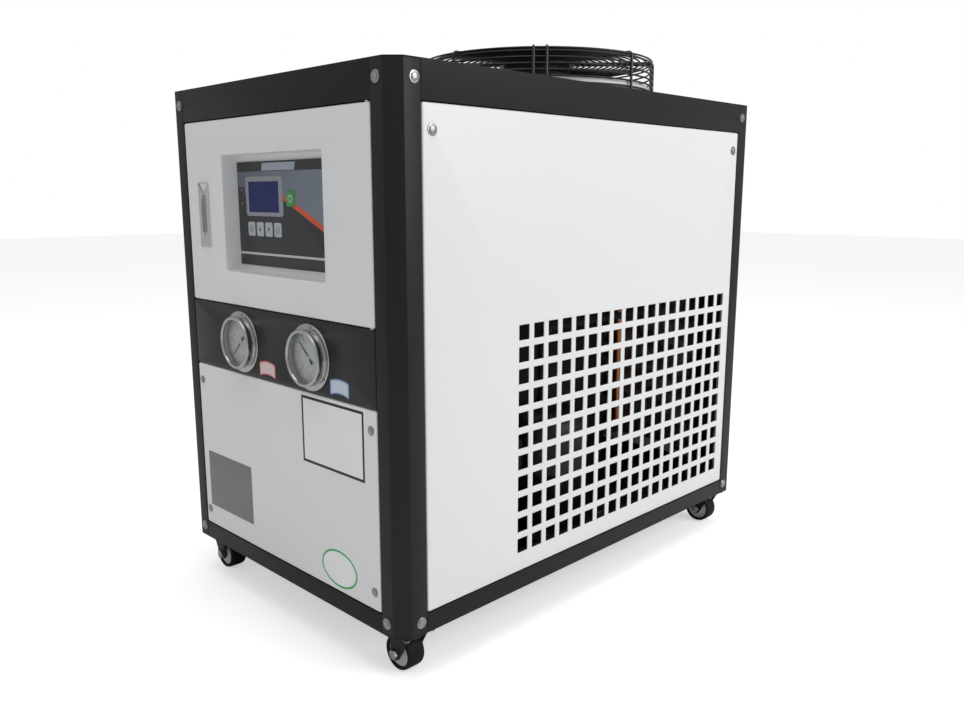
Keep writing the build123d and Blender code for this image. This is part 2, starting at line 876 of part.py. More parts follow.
def copper_line():
    header = rod(header_x, header_y, header_radius, header_bottom, header_top)
    step = (header_top - header_bottom) / header_stubs
    for number in range(header_stubs):
        level = header_bottom + step * (number + 0.5)
        header += block(header_x - stub_radius, header_x + stub_radius, header_y, coil_front,
                        level - stub_radius, level + stub_radius)
    start = (compressor_x, compressor_y, compressor_top())
    turn = (compressor_x, compressor_y, base_z + discharge_rise)
    corner = (compressor_x, header_y, base_z + discharge_rise)
    end = (header_x, header_y, base_z + discharge_rise)
    path = FilletPolyline(start, turn, corner, end, radius=discharge_bend)
    line = sweep(Plane(start) * round_bar(discharge_radius), path=path)
    return header + line


def compressor_top():
    return floor_z + grommet_height + compressor_plate_thickness + compressor_height + compressor_stub


def compressor():
    plate_z = floor_z + grommet_height
    outline = cornered(compressor_plate, compressor_plate, compressor_plate_corner)
    body = facing_up(outline, plate_z, plate_z + compressor_plate_thickness)
    half = grommet_spacing / 2
    for x in (-half, half):
        for y in (-half, half):
            body += rod(x, y, grommet_radius, floor_z, plate_z)
    low = plate_z + compressor_plate_thickness
    high = low + compressor_height
    shell = rod(0, 0, compressor_radius, low, high)
    body += chamfer(shell.faces().sort_by(Axis.Z)[-1].edges(), compressor_dome)
    body += rod(0, 0, discharge_radius + compressor_stub_wall, high - compressor_dome / 2, compressor_top())
    return Pos(compressor_x, compressor_y) * body


def water_tank():
    outline = rect(tank_left, tank_right, tank_front, tank_back, tank_corner)
    return facing_up(outline, floor_z, floor_z + tank_height)


def tank_lid():
    over = tank_lid_overhang
    outline = rect(tank_left - over, tank_right + over, tank_front - over, tank_back + over, tank_corner)
    low = floor_z + tank_height
    cap_x = (tank_left + tank_right) / 2
    cap_y = tank_front + 2 * tank_cap_radius
    cap = rod(cap_x, cap_y, tank_cap_radius, low, low + tank_lid_thickness + tank_cap_height)
    return facing_up(outline, low, low + tank_lid_thickness) + cap


def circulation_pump():
    z = floor_z + pump_rise
    place = Pos(pump_y, z)
    pump = facing_side(place * round_bar(pump_motor_radius), pump_x, pump_x + pump_motor_length)
    pump += facing_side(place * round_bar(pump_volute_radius), pump_x - pump_volute_length, pump_x)
    half = pump_foot_width / 2
    foot_end = pump_x + pump_foot_length
    pump += block(pump_x, foot_end, pump_y - half, pump_y + half, floor_z, floor_z + pump_foot_height)
    web = pump_foot_height / 2
    pump += block(pump_x + web, foot_end - web, pump_y - web, pump_y + web, floor_z, z)
    spout_x = pump_x - pump_volute_length / 2
    spout_top = z + pump_volute_radius + pump_outlet_height
    return pump + rod(spout_x, pump_y, pump_outlet_radius, z, spout_top)


def water_ports():
    z = base_z + port_rise
    ports = [hexagon_port(x, z, port_bore_radius, port_body_radius, port_hexagon_radius)
             for x in (outlet_x, inlet_x)]
    ports.append(hexagon_port(drain_x, z, drain_bore_radius, drain_body_radius, drain_hexagon_radius))
    return ports


def cable_gland():
    z = base_z + port_rise
    inner = half_depth - sheet - gland_behind
    flange = facing_front(Pos(gland_x, z) * RegularPolygon(gland_hexagon_radius, 6),
                          half_depth, half_depth + port_hexagon)
    barrel = disc(gland_x, z, gland_body_radius, inner, half_depth + port_reach)
    bore = facing_front(Pos(gland_x, z) * Circle(gland_bore_radius), inner, half_depth + port_reach)
    return flange + barrel - bore


def electrics_tray():
    low_y = front_y + panel_depth + post_wall
    high_y = low_y + electrics_depth
    low = door_bottom + electrics_clear
    high = high_z - electrics_clear
    half = half_width - electrics_from_side
    whole = block(-half, half, low_y, high_y, low, high)
    return whole - block(sheet - half, half - sheet, low_y, high_y - sheet, low + sheet, high - sheet)


def electrics_modules():
    back = front_y + panel_depth + post_wall + electrics_depth - sheet
    middle = (door_bottom + high_z) / 2
    inner = half_width - electrics_from_side - sheet
    gap = (2 * inner - sum(size[0] for size in module_sizes)) / (len(module_sizes) + 1)
    start = gap - inner
    half_rail = rail_height / 2
    solids = block(start, -start, back - rail_depth, back, middle - half_rail, middle + half_rail)
    for width, height, depth in module_sizes:
        solids += block(start, start + width, back - rail_depth - depth, back - rail_depth,
                        middle - height / 2, middle + height / 2)
        start += width + gap
    return solids


# Screws

def front_screw(x, z, side_y, radius):
    ends = sorted((side_y * half_depth, side_y * (half_depth + screw_head)))
    return facing_front(Pos(x, z) * RegularPolygon(radius, 6), *ends)


def side_screw(y, z, side_x, radius):
    ends = sorted((side_x * half_width, side_x * (half_width + screw_head)))
    return facing_side(Pos(y, z) * RegularPolygon(radius, 6), *ends)


def cabinet_screws():
    screws = []
    end_x = half_width - post_screw_from_side
    side_y = half_depth - post_screw_from_end
    panel_screw_y = half_depth - side_screw_from_end
    high_level = top_z - high_screw_drop
    for side in (-1, 1):
        for other in (-1, 1):
            for level in (base_z + screw_level_base, top_z - screw_level_top):
                screws.append(front_screw(other * end_x, level, side, screw_radius))
                screws.append(side_screw(other * side_y, level, side, screw_radius))
            screws.append(side_screw(other * panel_screw_y, high_level, side, screw_radius))
        screws.append(side_screw(side * panel_screw_y, base_z + left_screw_rise, -1, screw_radius))
        for level in (base_z + front_screw_rise, lower_panel_top - front_screw_drop):
            x = half_width - front_screw_from_side
            screws.append(front_screw(side * x, level, -1, small_screw_radius))
        for level in (base_z + rear_screw_rise, high_level):
            x = half_width - rear_screw_from_side
            screws.append(front_screw(side * x, level, 1, small_screw_radius))
    return screws


# Every node

save("base_pan", base_pan())
save("top_cover", top_cover())
for side_y, end in ((-1, "front"), (1, "rear")):
    for side_x, hand in ((-1, "left"), (1, "right")):
        save(f"corner_post_{end}_{hand}", corner_post(side_x, side_y))
save("gauge_panel", gauge_panel())
save("lower_front_panel", front_tray(-panel_x, panel_x, low_z, lower_panel_top, front_y, panel_depth))
save("right_side_panel", right_side_panel())
save("left_side_panel", side_tray(-1))
save("rear_panel", rear_panel())
save("cabinet_screws", *cabinet_screws())

save("door_panel", door_panel())
save("door_hinge_pins", *hinge_pins())
save("door_pull", door_pull())
save("door_magnet", door_magnet())
save("controller_housing", controller_housing())
save("controller_fascia", controller_fascia())
save("display_window", display_window())
save("indicator_lamps", *indicator_lamps())
for name, x, z, width, height in all_keys():
    save(name, key_cap(x, z, width, height))

for hand, side, angle in (("left", -1, left_needle_angle), ("right", 1, right_needle_angle)):
    gauge_x = side * gauge_spacing / 2
    save(f"gauge_case_{hand}", gauge_case(gauge_x))
    save(f"gauge_dial_{hand}", gauge_dial(gauge_x))
    save(f"gauge_needle_{hand}", gauge_needle(gauge_x, angle))
    save(f"gauge_lens_{hand}", gauge_lens(gauge_x))

save("fan_collar", fan_collar())
save("fan_guard", fan_guard())
save("fan_motor", fan_motor())
save("fan_rotor", fan_rotor())

save("caster_plates", *caster_plates())
for name, x, y, toward in caster_centres():
    wheel_x = x + toward * caster_trail
    save(f"caster_fork_{name}", caster_fork(x, y, toward))
    save(f"wheel_hub_{name}", wheel_hub(wheel_x, y))
    save(f"tyre_{name}", tyre(wheel_x, y))

save("compressor", compressor())
save("condenser_coil", condenser_coil())
save("copper_line", copper_line())
save("water_tank", water_tank())
save("tank_lid", tank_lid())
save("circulation_pump", circulation_pump())
save("water_ports", *water_ports())
save("cable_gland", cable_gland())
save("electrics_tray", electrics_tray())
save("electrics_modules", electrics_modules())
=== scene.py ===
import bmesh
import bpy
import math
from mathutils import Matrix, Vector


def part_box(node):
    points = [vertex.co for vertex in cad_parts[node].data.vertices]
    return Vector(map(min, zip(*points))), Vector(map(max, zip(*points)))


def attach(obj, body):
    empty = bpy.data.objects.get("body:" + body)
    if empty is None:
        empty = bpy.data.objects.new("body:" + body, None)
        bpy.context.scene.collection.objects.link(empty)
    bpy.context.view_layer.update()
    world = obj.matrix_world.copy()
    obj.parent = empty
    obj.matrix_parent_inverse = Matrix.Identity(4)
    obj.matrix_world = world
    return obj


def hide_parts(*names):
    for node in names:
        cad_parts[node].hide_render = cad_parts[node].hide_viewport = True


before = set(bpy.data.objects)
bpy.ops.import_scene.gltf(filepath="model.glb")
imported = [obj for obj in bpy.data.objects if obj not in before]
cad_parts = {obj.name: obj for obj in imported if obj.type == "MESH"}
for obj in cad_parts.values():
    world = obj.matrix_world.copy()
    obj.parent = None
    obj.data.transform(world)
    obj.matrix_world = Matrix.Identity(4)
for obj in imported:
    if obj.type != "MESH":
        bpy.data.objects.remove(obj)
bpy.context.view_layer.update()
metres = 0.001  # every size below is in millimetres
scene = bpy.context.scene
cabinet = dict(halfWidth=260.0, halfDepth=400.0, panelX=220.0, panelY=356.8, panelLow=87.0, panelHigh=703.0)


# Node groups and materials

finishes = dict(smearScale=38.0, brushGloss=0.25, reliefDepth=0.0004)


def newGroup(name, inputs, outputs):
    group = bpy.data.node_groups.new(name, "ShaderNodeTree")
    for label, kind, value in inputs:
        socket = group.interface.new_socket(label, in_out="INPUT", socket_type="NodeSocket" + kind)
        socket.default_value = value
    for label, kind in outputs:
        group.interface.new_socket(label, in_out="OUTPUT", socket_type="NodeSocket" + kind)
    return group, group.nodes.new("NodeGroupInput"), group.nodes.new("NodeGroupOutput")


def mathNode(tree, operation, first, second=None, clamp=False):
    node = tree.nodes.new("ShaderNodeMath")
    node.operation = operation
    node.use_clamp = clamp
    for socket, value in zip(node.inputs, (first, second)):
        if isinstance(value, bpy.types.NodeSocket):
            tree.links.new(value, socket)
        elif value is not None:
            socket.default_value = value
    return node.outputs[0]


def noiseNode(tree, vector, scale, detail=2.0):
    node = tree.nodes.new("ShaderNodeTexNoise")
    node.inputs["Detail"].default_value = detail
    tree.links.new(vector, node.inputs["Vector"])
    if isinstance(scale, bpy.types.NodeSocket):
        tree.links.new(scale, node.inputs["Scale"])
    else:
        node.inputs["Scale"].default_value = scale
    return node.outputs["Fac"]


def tinted(tree, given, noise, amount):
    # Shades the given color by the noise, and gives the noise about 0 as well
    shift = mathNode(tree, "SUBTRACT", noise, 0.5)
    shade = mathNode(tree, "MULTIPLY_ADD", shift, given.outputs[amount])
    shade.node.inputs[2].default_value = 1.0
    tint = tree.nodes.new("ShaderNodeVectorMath")
    tint.operation = "SCALE"
    tree.links.new(given.outputs["Color"], tint.inputs[0])
    tree.links.new(shade, tint.inputs["Scale"])
    return tint.outputs[0], shift


def joinOutputs(tree, result, color, rough, height):
    for label, socket in (("Color", color), ("Roughness", rough), ("Height", height)):
        tree.links.new(socket, result.inputs[label])


def makeGrainGroup():
    # Fine texture for coats and plastics: a cloudy shade, a patchy gloss and a fine relief
    group, given, result = newGroup(
        "surfaceGrain",
        [("Color", "Color", (0.5, 0.5, 0.5, 1)), ("Roughness", "Float", 0.4), ("Cloud Scale", "Float", 6.0),
         ("Cloud Amount", "Float", 0.05), ("Gloss Amount", "Float", 0.06), ("Grain Scale", "Float", 900.0)],
        [("Color", "Color"), ("Roughness", "Float"), ("Height", "Float")])
    place = group.nodes.new("ShaderNodeTexCoord").outputs["Object"]
    cloud = noiseNode(group, place, given.outputs["Cloud Scale"], 4.0)
    color, _ = tinted(group, given, cloud, "Cloud Amount")
    smear = mathNode(group, "SUBTRACT", noiseNode(group, place, finishes["smearScale"], 3.0), 0.5)
    rough = mathNode(group, "MULTIPLY", smear, given.outputs["Gloss Amount"])
    rough = mathNode(group, "ADD", rough, given.outputs["Roughness"], clamp=True)
    joinOutputs(group, result, color, rough, noiseNode(group, place, given.outputs["Grain Scale"], 2.0))
    return group


def makeBrushGroup():
    # Fine parallel scratches: the stretch says how long they are along each axis
    group, given, result = newGroup(
        "brushedLines",
        [("Color", "Color", (0.6, 0.6, 0.6, 1)), ("Roughness", "Float", 0.3),
         ("Stretch", "Vector", (1, 1, 1)), ("Shade Amount", "Float", 0.12)],
        [("Color", "Color"), ("Roughness", "Float"), ("Height", "Float")])
    place = group.nodes.new("ShaderNodeTexCoord").outputs["Object"]
    scaled = group.nodes.new("ShaderNodeVectorMath")
    scaled.operation = "MULTIPLY"
    group.links.new(place, scaled.inputs[0])
    group.links.new(given.outputs["Stretch"], scaled.inputs[1])
    lines = noiseNode(group, scaled.outputs[0], 1.0, 3.0)
    color, shift = tinted(group, given, lines, "Shade Amount")
    rough = mathNode(group, "MULTIPLY", shift, finishes["brushGloss"])
    rough = mathNode(group, "ADD", rough, given.outputs["Roughness"], clamp=True)
    joinOutputs(group, result, color, rough, lines)
    return group


grainGroup = makeGrainGroup()
brushGroup = makeBrushGroup()
materials = {}


def newMaterial(name, metallic, fixed):
    material = bpy.data.materials.new(name)
    material.use_nodes = True
    shader = material.node_tree.nodes["Principled BSDF"]
    shader.inputs["Metallic"].default_value = metallic
    for label, value in fixed.items():
        shader.inputs[label].default_value = value
    materials[name] = material
    return material, shader


def joinFinish(material, shader, group, values, relief):
    tree = material.node_tree
    finish = tree.nodes.new("ShaderNodeGroup")
    finish.node_tree = group
    for label, value in values.items():
        finish.inputs[label].default_value = value
    bump = tree.nodes.new("ShaderNodeBump")
    bump.inputs["Strength"].default_value = relief
    bump.inputs["Distance"].default_value = finishes["reliefDepth"]
    tree.links.new(finish.outputs["Height"], bump.inputs["Height"])
    tree.links.new(bump.outputs["Normal"], shader.inputs["Normal"])
    tree.links.new(finish.outputs["Roughness"], shader.inputs["Roughness"])
    tree.links.new(finish.outputs["Color"], shader.inputs["Base Color"])


def coated(name, color, roughness, cloud=0.05, gloss=0.06, grain=900.0, relief=0.12, cloudScale=6.0,
           shine=None):
    material, shader = newMaterial(name, 0.0, {} if shine is None else {"Specular IOR Level": shine})
    values = {"Color": (*color, 1), "Roughness": roughness, "Cloud Scale": cloudScale, "Cloud Amount": cloud,
              "Gloss Amount": gloss, "Grain Scale": grain}
    joinFinish(material, shader, grainGroup, values, relief)
    return material


def brushed(name, color, roughness, stretch, metallic=1.0, shade=0.12, relief=0.08):
    material, shader = newMaterial(name, metallic, {})
    values = {"Color": (*color, 1), "Roughness": roughness, "Stretch": stretch, "Shade Amount": shade}
    joinFinish(material, shader, brushGroup, values, relief)


coated("frameBlack", (0.008, 0.008, 0.009), 0.46, relief=0.16, grain=1400.0, shine=0.28)
coated("panelWhite", (0.80, 0.81, 0.82), 0.38, relief=0.10, grain=1200.0, cloud=0.02)
coated("bandBlack", (0.009, 0.009, 0.010), 0.32, relief=0.08, grain=1400.0, shine=0.36)
coated("collarGrey", (0.88, 0.88, 0.87), 0.42, relief=0.10)
coated("wireBlack", (0.012, 0.012, 0.013), 0.34, relief=0.10)
coated("casterBlack", (0.008, 0.008, 0.009), 0.40, relief=0.12, shine=0.25)
coated("plasticBlack", (0.016, 0.016, 0.017), 0.50, relief=0.25, grain=2200.0)
coated("compressorBlack", (0.010, 0.010, 0.011), 0.38, relief=0.18)
coated("hubGrey", (0.60, 0.61, 0.60), 0.46, relief=0.2)
coated("tyreBlack", (0.006, 0.006, 0.006), 0.60, relief=0.35, gloss=0.14, shine=0.2)
coated("foamBlack", (0.013, 0.013, 0.014), 0.85, relief=0.9, grain=420.0, gloss=0.1)
coated("pumpBlue", (0.02, 0.045, 0.11), 0.45, relief=0.25)
coated("moduleGrey", (0.30, 0.31, 0.32), 0.5, relief=0.2)
coated("moduleGreen", (0.05, 0.16, 0.09), 0.5, relief=0.2)
coated("wireRed", (0.40, 0.02, 0.02), 0.45)
coated("wireBlue", (0.02, 0.05, 0.35), 0.45)
coated("keyGrey", (0.42, 0.45, 0.49), 0.40, relief=0.08)
coated("keyGreen", (0.035, 0.28, 0.06), 0.38, relief=0.08)
coated("keyPrint", (0.10, 0.11, 0.13), 0.5)
coated("bezelGrey", (0.26, 0.28, 0.32), 0.40, relief=0.08)
coated("displayBlue", (0.022, 0.030, 0.125), 0.2, relief=0.02, cloud=0.2, cloudScale=22.0,
       shine=0.12)
coated("dialWhite", (0.66, 0.67, 0.66), 0.45, relief=0.05, cloud=0.04)
coated("printBlack", (0.012, 0.012, 0.013), 0.5)
coated("printRed", (0.45, 0.02, 0.02), 0.5)
coated("tagRed", (0.66, 0.16, 0.15), 0.38, cloud=0.08)
coated("tagPink", (0.72, 0.58, 0.57), 0.38, cloud=0.08)
coated("tagBlue", (0.20, 0.32, 0.58), 0.38, cloud=0.08)
coated("tagPale", (0.56, 0.64, 0.76), 0.38, cloud=0.08)
coated("labelWhite", (0.86, 0.87, 0.87), 0.42, cloud=0.05)
coated("labelGreen", (0.06, 0.42, 0.15), 0.42, cloud=0.08)
coated("rubberBlack", (0.012, 0.012, 0.012), 0.7, relief=0.3)
coated("lampGlow", (0.50, 0.50, 0.48), 0.2, relief=0.02)
brushed("steelSatin", (0.62, 0.63, 0.64), 0.30, (900, 900, 60))
brushed("zincBright", (0.34, 0.35, 0.35), 0.30, (700, 700, 700), relief=0.12)
brushed("chromeRing", (0.46, 0.47, 0.47), 0.20, (400, 400, 400), shade=0.04, relief=0.02)
brushed("platePale", (0.22, 0.22, 0.23), 0.36, (1100, 60, 60), metallic=0.7, shade=0.08)
brushed("finAluminium", (0.55, 0.56, 0.57), 0.38, (60, 900, 900))
brushed("copperTube", (0.72, 0.26, 0.10), 0.30, (500, 500, 60), shade=0.3)
brushed("brassBody", (0.62, 0.44, 0.16), 0.30, (600, 600, 600))


newMaterial("gaugeGlass", 0.0, {"Base Color": (0.96, 0.98, 0.98, 1), "Roughness": 0.02,
                                "Transmission Weight": 1.0, "IOR": 1.2})
print("materials", len(materials))


# Mesh helpers

meshing = dict(merge=0.0005, cadMerge=1e-6, sheetMerge=2e-5, cadFlat=0.5, bevelAngle=30.0)


def facingFront(x, z, depth):
    return Vector((x, -cabinet["halfDepth"] + depth, z))


def facingBack(x, z, depth):
    return Vector((-x, cabinet["halfDepth"] - depth, z))


def facingRight(y, z, depth):
    return Vector((cabinet["halfWidth"] - depth, y, z))


def facingLeft(y, z, depth):
    return Vector((-cabinet["halfWidth"] + depth, -y, z))


def roundedLoop(centreU, centreV, width, height, radius, steps=5):
    points = []
    for signU, signV, start in ((1, 1, 0), (-1, 1, 90), (-1, -1, 180), (1, -1, 270)):
        for step in range(steps + 1):
            turn = math.radians(start + 90 * step / steps)
            points.append((centreU + signU * (width / 2 - radius) + radius * math.cos(turn),
                           centreV + signV * (height / 2 - radius) + radius * math.sin(turn)))
    return points


def circleLoop(centreU, centreV, radius, steps=48):
    return [(centreU + radius * math.cos(2 * math.pi * step / steps),
             centreV + radius * math.sin(2 * math.pi * step / steps)) for step in range(steps)]


def addLoop(bm, place, points, depth):
    verts = [bm.verts.new(place(u, v, depth)) for u, v in points]
    edges = [bm.edges.new((verts[i], verts[(i + 1) % len(verts)])) for i in range(len(verts))]
    return verts, edges


def bridge(bm, first, second):
    count = len(first)
    for i in range(count):
        bm.faces.new((first[i], first[(i + 1) % count], second[(i + 1) % count], second[i]))


def stackLoops(bm, place, stack):
    made = [addLoop(bm, place, points, depth) for points, depth in stack]
    for (first, _), (second, _) in zip(made, made[1:]):
        bridge(bm, first, second)
    return made


def toObject(bm, name, material, smooth=35.0, scale=True):
    bmesh.ops.remove_doubles(bm, verts=bm.verts, dist=meshing["merge"])
    if scale:
        bmesh.ops.scale(bm, vec=(metres,) * 3, verts=bm.verts)
    mesh = bpy.data.meshes.new(name)
    bm.to_mesh(mesh)
    bm.free()
    return meshObject(mesh, name, material, smooth)


def smoothed(mesh, angle):
    mesh.shade_smooth()
    mesh.set_sharp_from_angle(angle=math.radians(angle))


def meshObject(mesh, name, material, smooth=35.0):
    smoothed(mesh, smooth)
    mesh.materials.clear()
    mesh.materials.append(materials[material])
    piece = bpy.data.objects.new(name, mesh)
    scene.collection.objects.link(piece)
    return piece


def settle(piece, smooth=35.0):
    # Turns the piece, with its modifiers, into a plain mesh
    bpy.context.view_layer.update()
    evaluated = piece.evaluated_get(bpy.context.evaluated_depsgraph_get())
    mesh = bpy.data.meshes.new_from_object(evaluated)
    piece.modifiers.clear()
    old = piece.data
    piece.data = mesh
    if old.users == 0:
        bpy.data.meshes.remove(old)
    smoothed(mesh, smooth)
    return piece


def rounded(piece, width, segments):
    bevel = piece.modifiers.new("bevel", "BEVEL")
    bevel.width = width * metres
    bevel.segments = segments
    bevel.limit_method = "ANGLE"
    bevel.angle_limit = math.radians(meshing["bevelAngle"])
    return settle(piece)


def thickened(piece, thickness):
    wall = piece.modifiers.new("wall", "SOLIDIFY")
    wall.thickness = thickness * metres
    wall.offset = -1.0
    wall.use_even_offset = True
    return settle(piece)


def finishPiece(piece, body, slotName, *nodes):
    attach(piece, body)
    if nodes:
        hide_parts(*nodes)
    return piece


def dressNode(node, material, body="cabinet", slotName=None, width=0.5, segments=2):
    # A copy of the CAD node with its edges rounded
    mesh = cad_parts[node].data.copy()
    bm = bmesh.new()
    bm.from_mesh(mesh)
    bmesh.ops.remove_doubles(bm, verts=bm.verts, dist=meshing["cadMerge"])
    flat = math.radians(meshing["cadFlat"])
    bmesh.ops.dissolve_limit(bm, angle_limit=flat, verts=bm.verts, edges=bm.edges)
    piece = toObject(bm, node + "_dressed", material, scale=False)
    rounded(piece, width, segments)
    return finishPiece(piece, body, slotName, node)


def turnPoint(axis, centre, radius, along, turn):
    across, up = radius * math.cos(turn), radius * math.sin(turn)
    offset = {"X": (along, across, up), "Y": (across, along, up), "Z": (across, up, along)}[axis]
    return Vector([place + shift for place, shift in zip(centre, offset)])


def lathe(bm, axis, centre, profile, steps=64, closed=False):
    # The profile holds (radius, place along the axis); a radius of 0 closes the end
    rings = []
    for radius, along in profile:
        if radius < 1e-6:
            rings.append([bm.verts.new(turnPoint(axis, centre, 0, along, 0))])
            continue
        rings.append([bm.verts.new(turnPoint(axis, centre, radius, along, 2 * math.pi * step / steps))
                      for step in range(steps)])
    pairs = list(zip(rings, rings[1:]))
    if closed:
        pairs.append((rings[-1], rings[0]))
    made = []
    for first, second in pairs:
        if len(first) == 1 and len(second) == 1:
            continue
        for i in range(steps):
            j = (i + 1) % steps
            if len(first) == 1:
                made.append(bm.faces.new((first[0], second[j], second[i])))
            elif len(second) == 1:
                made.append(bm.faces.new((first[i], first[j], second[0])))
            else:
                made.append(bm.faces.new((first[i], first[j], second[j], second[i])))
    bmesh.ops.recalc_face_normals(bm, faces=made)


def prism(bm, points, place, low, high):
    # An outline in the place's own directions, closed at both depths
    first = [bm.verts.new(place(u, v, low)) for u, v in points]
    second = [bm.verts.new(place(u, v, high)) for u, v in points]
    faces = [bm.faces.new(first), bm.faces.new(second)]
    count = len(points)
    for i in range(count):
        j = (i + 1) % count
        faces.append(bm.faces.new((first[i], first[j], second[j], second[i])))
    bmesh.ops.recalc_face_normals(bm, faces=faces)


def boxInto(bm, low, high):
    made = bmesh.ops.create_cube(bm, size=1.0)["verts"]
    size = Vector(high) - Vector(low)
    bmesh.ops.scale(bm, vec=size, verts=made)
    bmesh.ops.translate(bm, vec=(Vector(high) + Vector(low)) / 2, verts=made)


# Geometry node helpers

def newGeometryTree(name, inputs):
    tree = bpy.data.node_groups.new(name, "GeometryNodeTree")
    tree.interface.new_socket("Geometry", in_out="OUTPUT", socket_type="NodeSocketGeometry")
    tree.interface.new_socket("Geometry", in_out="INPUT", socket_type="NodeSocketGeometry")
    for label, kind in inputs:
        tree.interface.new_socket(label, in_out="INPUT", socket_type="NodeSocket" + kind)
    return tree, tree.nodes.new("NodeGroupInput"), tree.nodes.new("NodeGroupOutput")


def addNode(tree, kind, links=(), **settings):
    node = tree.nodes.new(kind)
    for label, value in settings.items():
        setattr(node, label, value)
    for label, source in links:
        socket = node.inputs[label]
        if isinstance(source, bpy.types.NodeSocket):
            tree.links.new(source, socket)
        else:
            socket.default_value = source
    return node


def endTree(tree, given, result, geometry):
    real = addNode(tree, "GeometryNodeRealizeInstances", [("Geometry", geometry)])
    coat = addNode(tree, "GeometryNodeSetMaterial", [("Geometry", real.outputs[0]),
                                                     ("Material", given.outputs["Material"])])
    tree.links.new(coat.outputs[0], result.inputs["Geometry"])


def grow(name, tree, values, points=(), edges=(), attributes=None, smooth=35.0):
    # Runs the tree on a base mesh and returns the plain result
    mesh = bpy.data.meshes.new(name)
    mesh.from_pydata([Vector(p) * metres for p in points], edges, [])
    for label, (kind, data) in (attributes or {}).items():
        layer = mesh.attributes.new(label, kind, "POINT")
        field = "vector" if kind == "FLOAT_VECTOR" else "value"
        flat = [c for item in data for c in item] if kind == "FLOAT_VECTOR" else data
        layer.data.foreach_set(field, flat)
    piece = bpy.data.objects.new(name, mesh)
    scene.collection.objects.link(piece)
    modifier = piece.modifiers.new("grow", "NODES")
    modifier.node_group = tree
    for item in tree.interface.items_tree:
        if item.in_out == "INPUT" and item.name in values:
            modifier[item.identifier] = values[item.name]
    return settle(piece, smooth)


def makeScatterTree():
    # Puts one shape on every point, its own Z turned to the point's facing
    tree, given, result = newGeometryTree("placedParts", [("Part", "Object"), ("Material", "Material")])
    part = addNode(tree, "GeometryNodeObjectInfo", [("Object", given.outputs["Part"])])
    facing = addNode(tree, "GeometryNodeInputNamedAttribute", [("Name", "facing")], data_type="FLOAT_VECTOR")
    size = addNode(tree, "GeometryNodeInputNamedAttribute", [("Name", "size")], data_type="FLOAT_VECTOR")
    turn = addNode(tree, "FunctionNodeAlignRotationToVector", [("Vector", facing.outputs[0])], axis="Z")
    copies = addNode(tree, "GeometryNodeInstanceOnPoints",
                     [("Points", given.outputs["Geometry"]), ("Instance", part.outputs["Geometry"]),
                      ("Rotation", turn.outputs[0]), ("Scale", size.outputs[0])])
    endTree(tree, given, result, copies.outputs[0])
    return tree


def sweptWire(tree, given, path, caps):
    section = addNode(tree, "GeometryNodeCurvePrimitiveCircle",
                      [("Resolution", given.outputs["Sides"]), ("Radius", given.outputs["Wire Radius"])])
    wire = addNode(tree, "GeometryNodeCurveToMesh",
                   [("Curve", path.outputs[0]), ("Profile Curve", section.outputs[0]), ("Fill Caps", caps)])
    return wire.outputs[0]


def makeWireTree():
    # Round wire along the base mesh's edges, with bends rounded
    tree, given, result = newGeometryTree(
        "bentWire", [("Wire Radius", "Float"), ("Bend Radius", "Float"), ("Sides", "Int"),
                     ("Bend Steps", "Int"), ("Material", "Material")])
    line = addNode(tree, "GeometryNodeMeshToCurve", [("Mesh", given.outputs["Geometry"])])
    bend = addNode(tree, "GeometryNodeFilletCurve",
                   [("Curve", line.outputs[0]), ("Radius", given.outputs["Bend Radius"]),
                    ("Limit Radius", True), ("Count", given.outputs["Bend Steps"])], mode="POLY")
    endTree(tree, given, result, sweptWire(tree, given, bend, True))
    return tree


def makeRingTree():
    # A round wire ring at every point, as wide as the point's reach
    tree, given, result = newGeometryTree(
        "wireRings", [("Wire Radius", "Float"), ("Ring Steps", "Int"), ("Sides", "Int"),
                      ("Material", "Material")])
    circle = addNode(tree, "GeometryNodeCurvePrimitiveCircle",
                     [("Resolution", given.outputs["Ring Steps"]), ("Radius", 1.0)])
    reach = addNode(tree, "GeometryNodeInputNamedAttribute", [("Name", "reach")], data_type="FLOAT")
    copies = addNode(tree, "GeometryNodeInstanceOnPoints",
                     [("Points", given.outputs["Geometry"]), ("Instance", circle.outputs[0]),
                      ("Scale", reach.outputs[0])])
    real = addNode(tree, "GeometryNodeRealizeInstances", [("Geometry", copies.outputs[0])])
    endTree(tree, given, result, sweptWire(tree, given, real, False))
    return tree


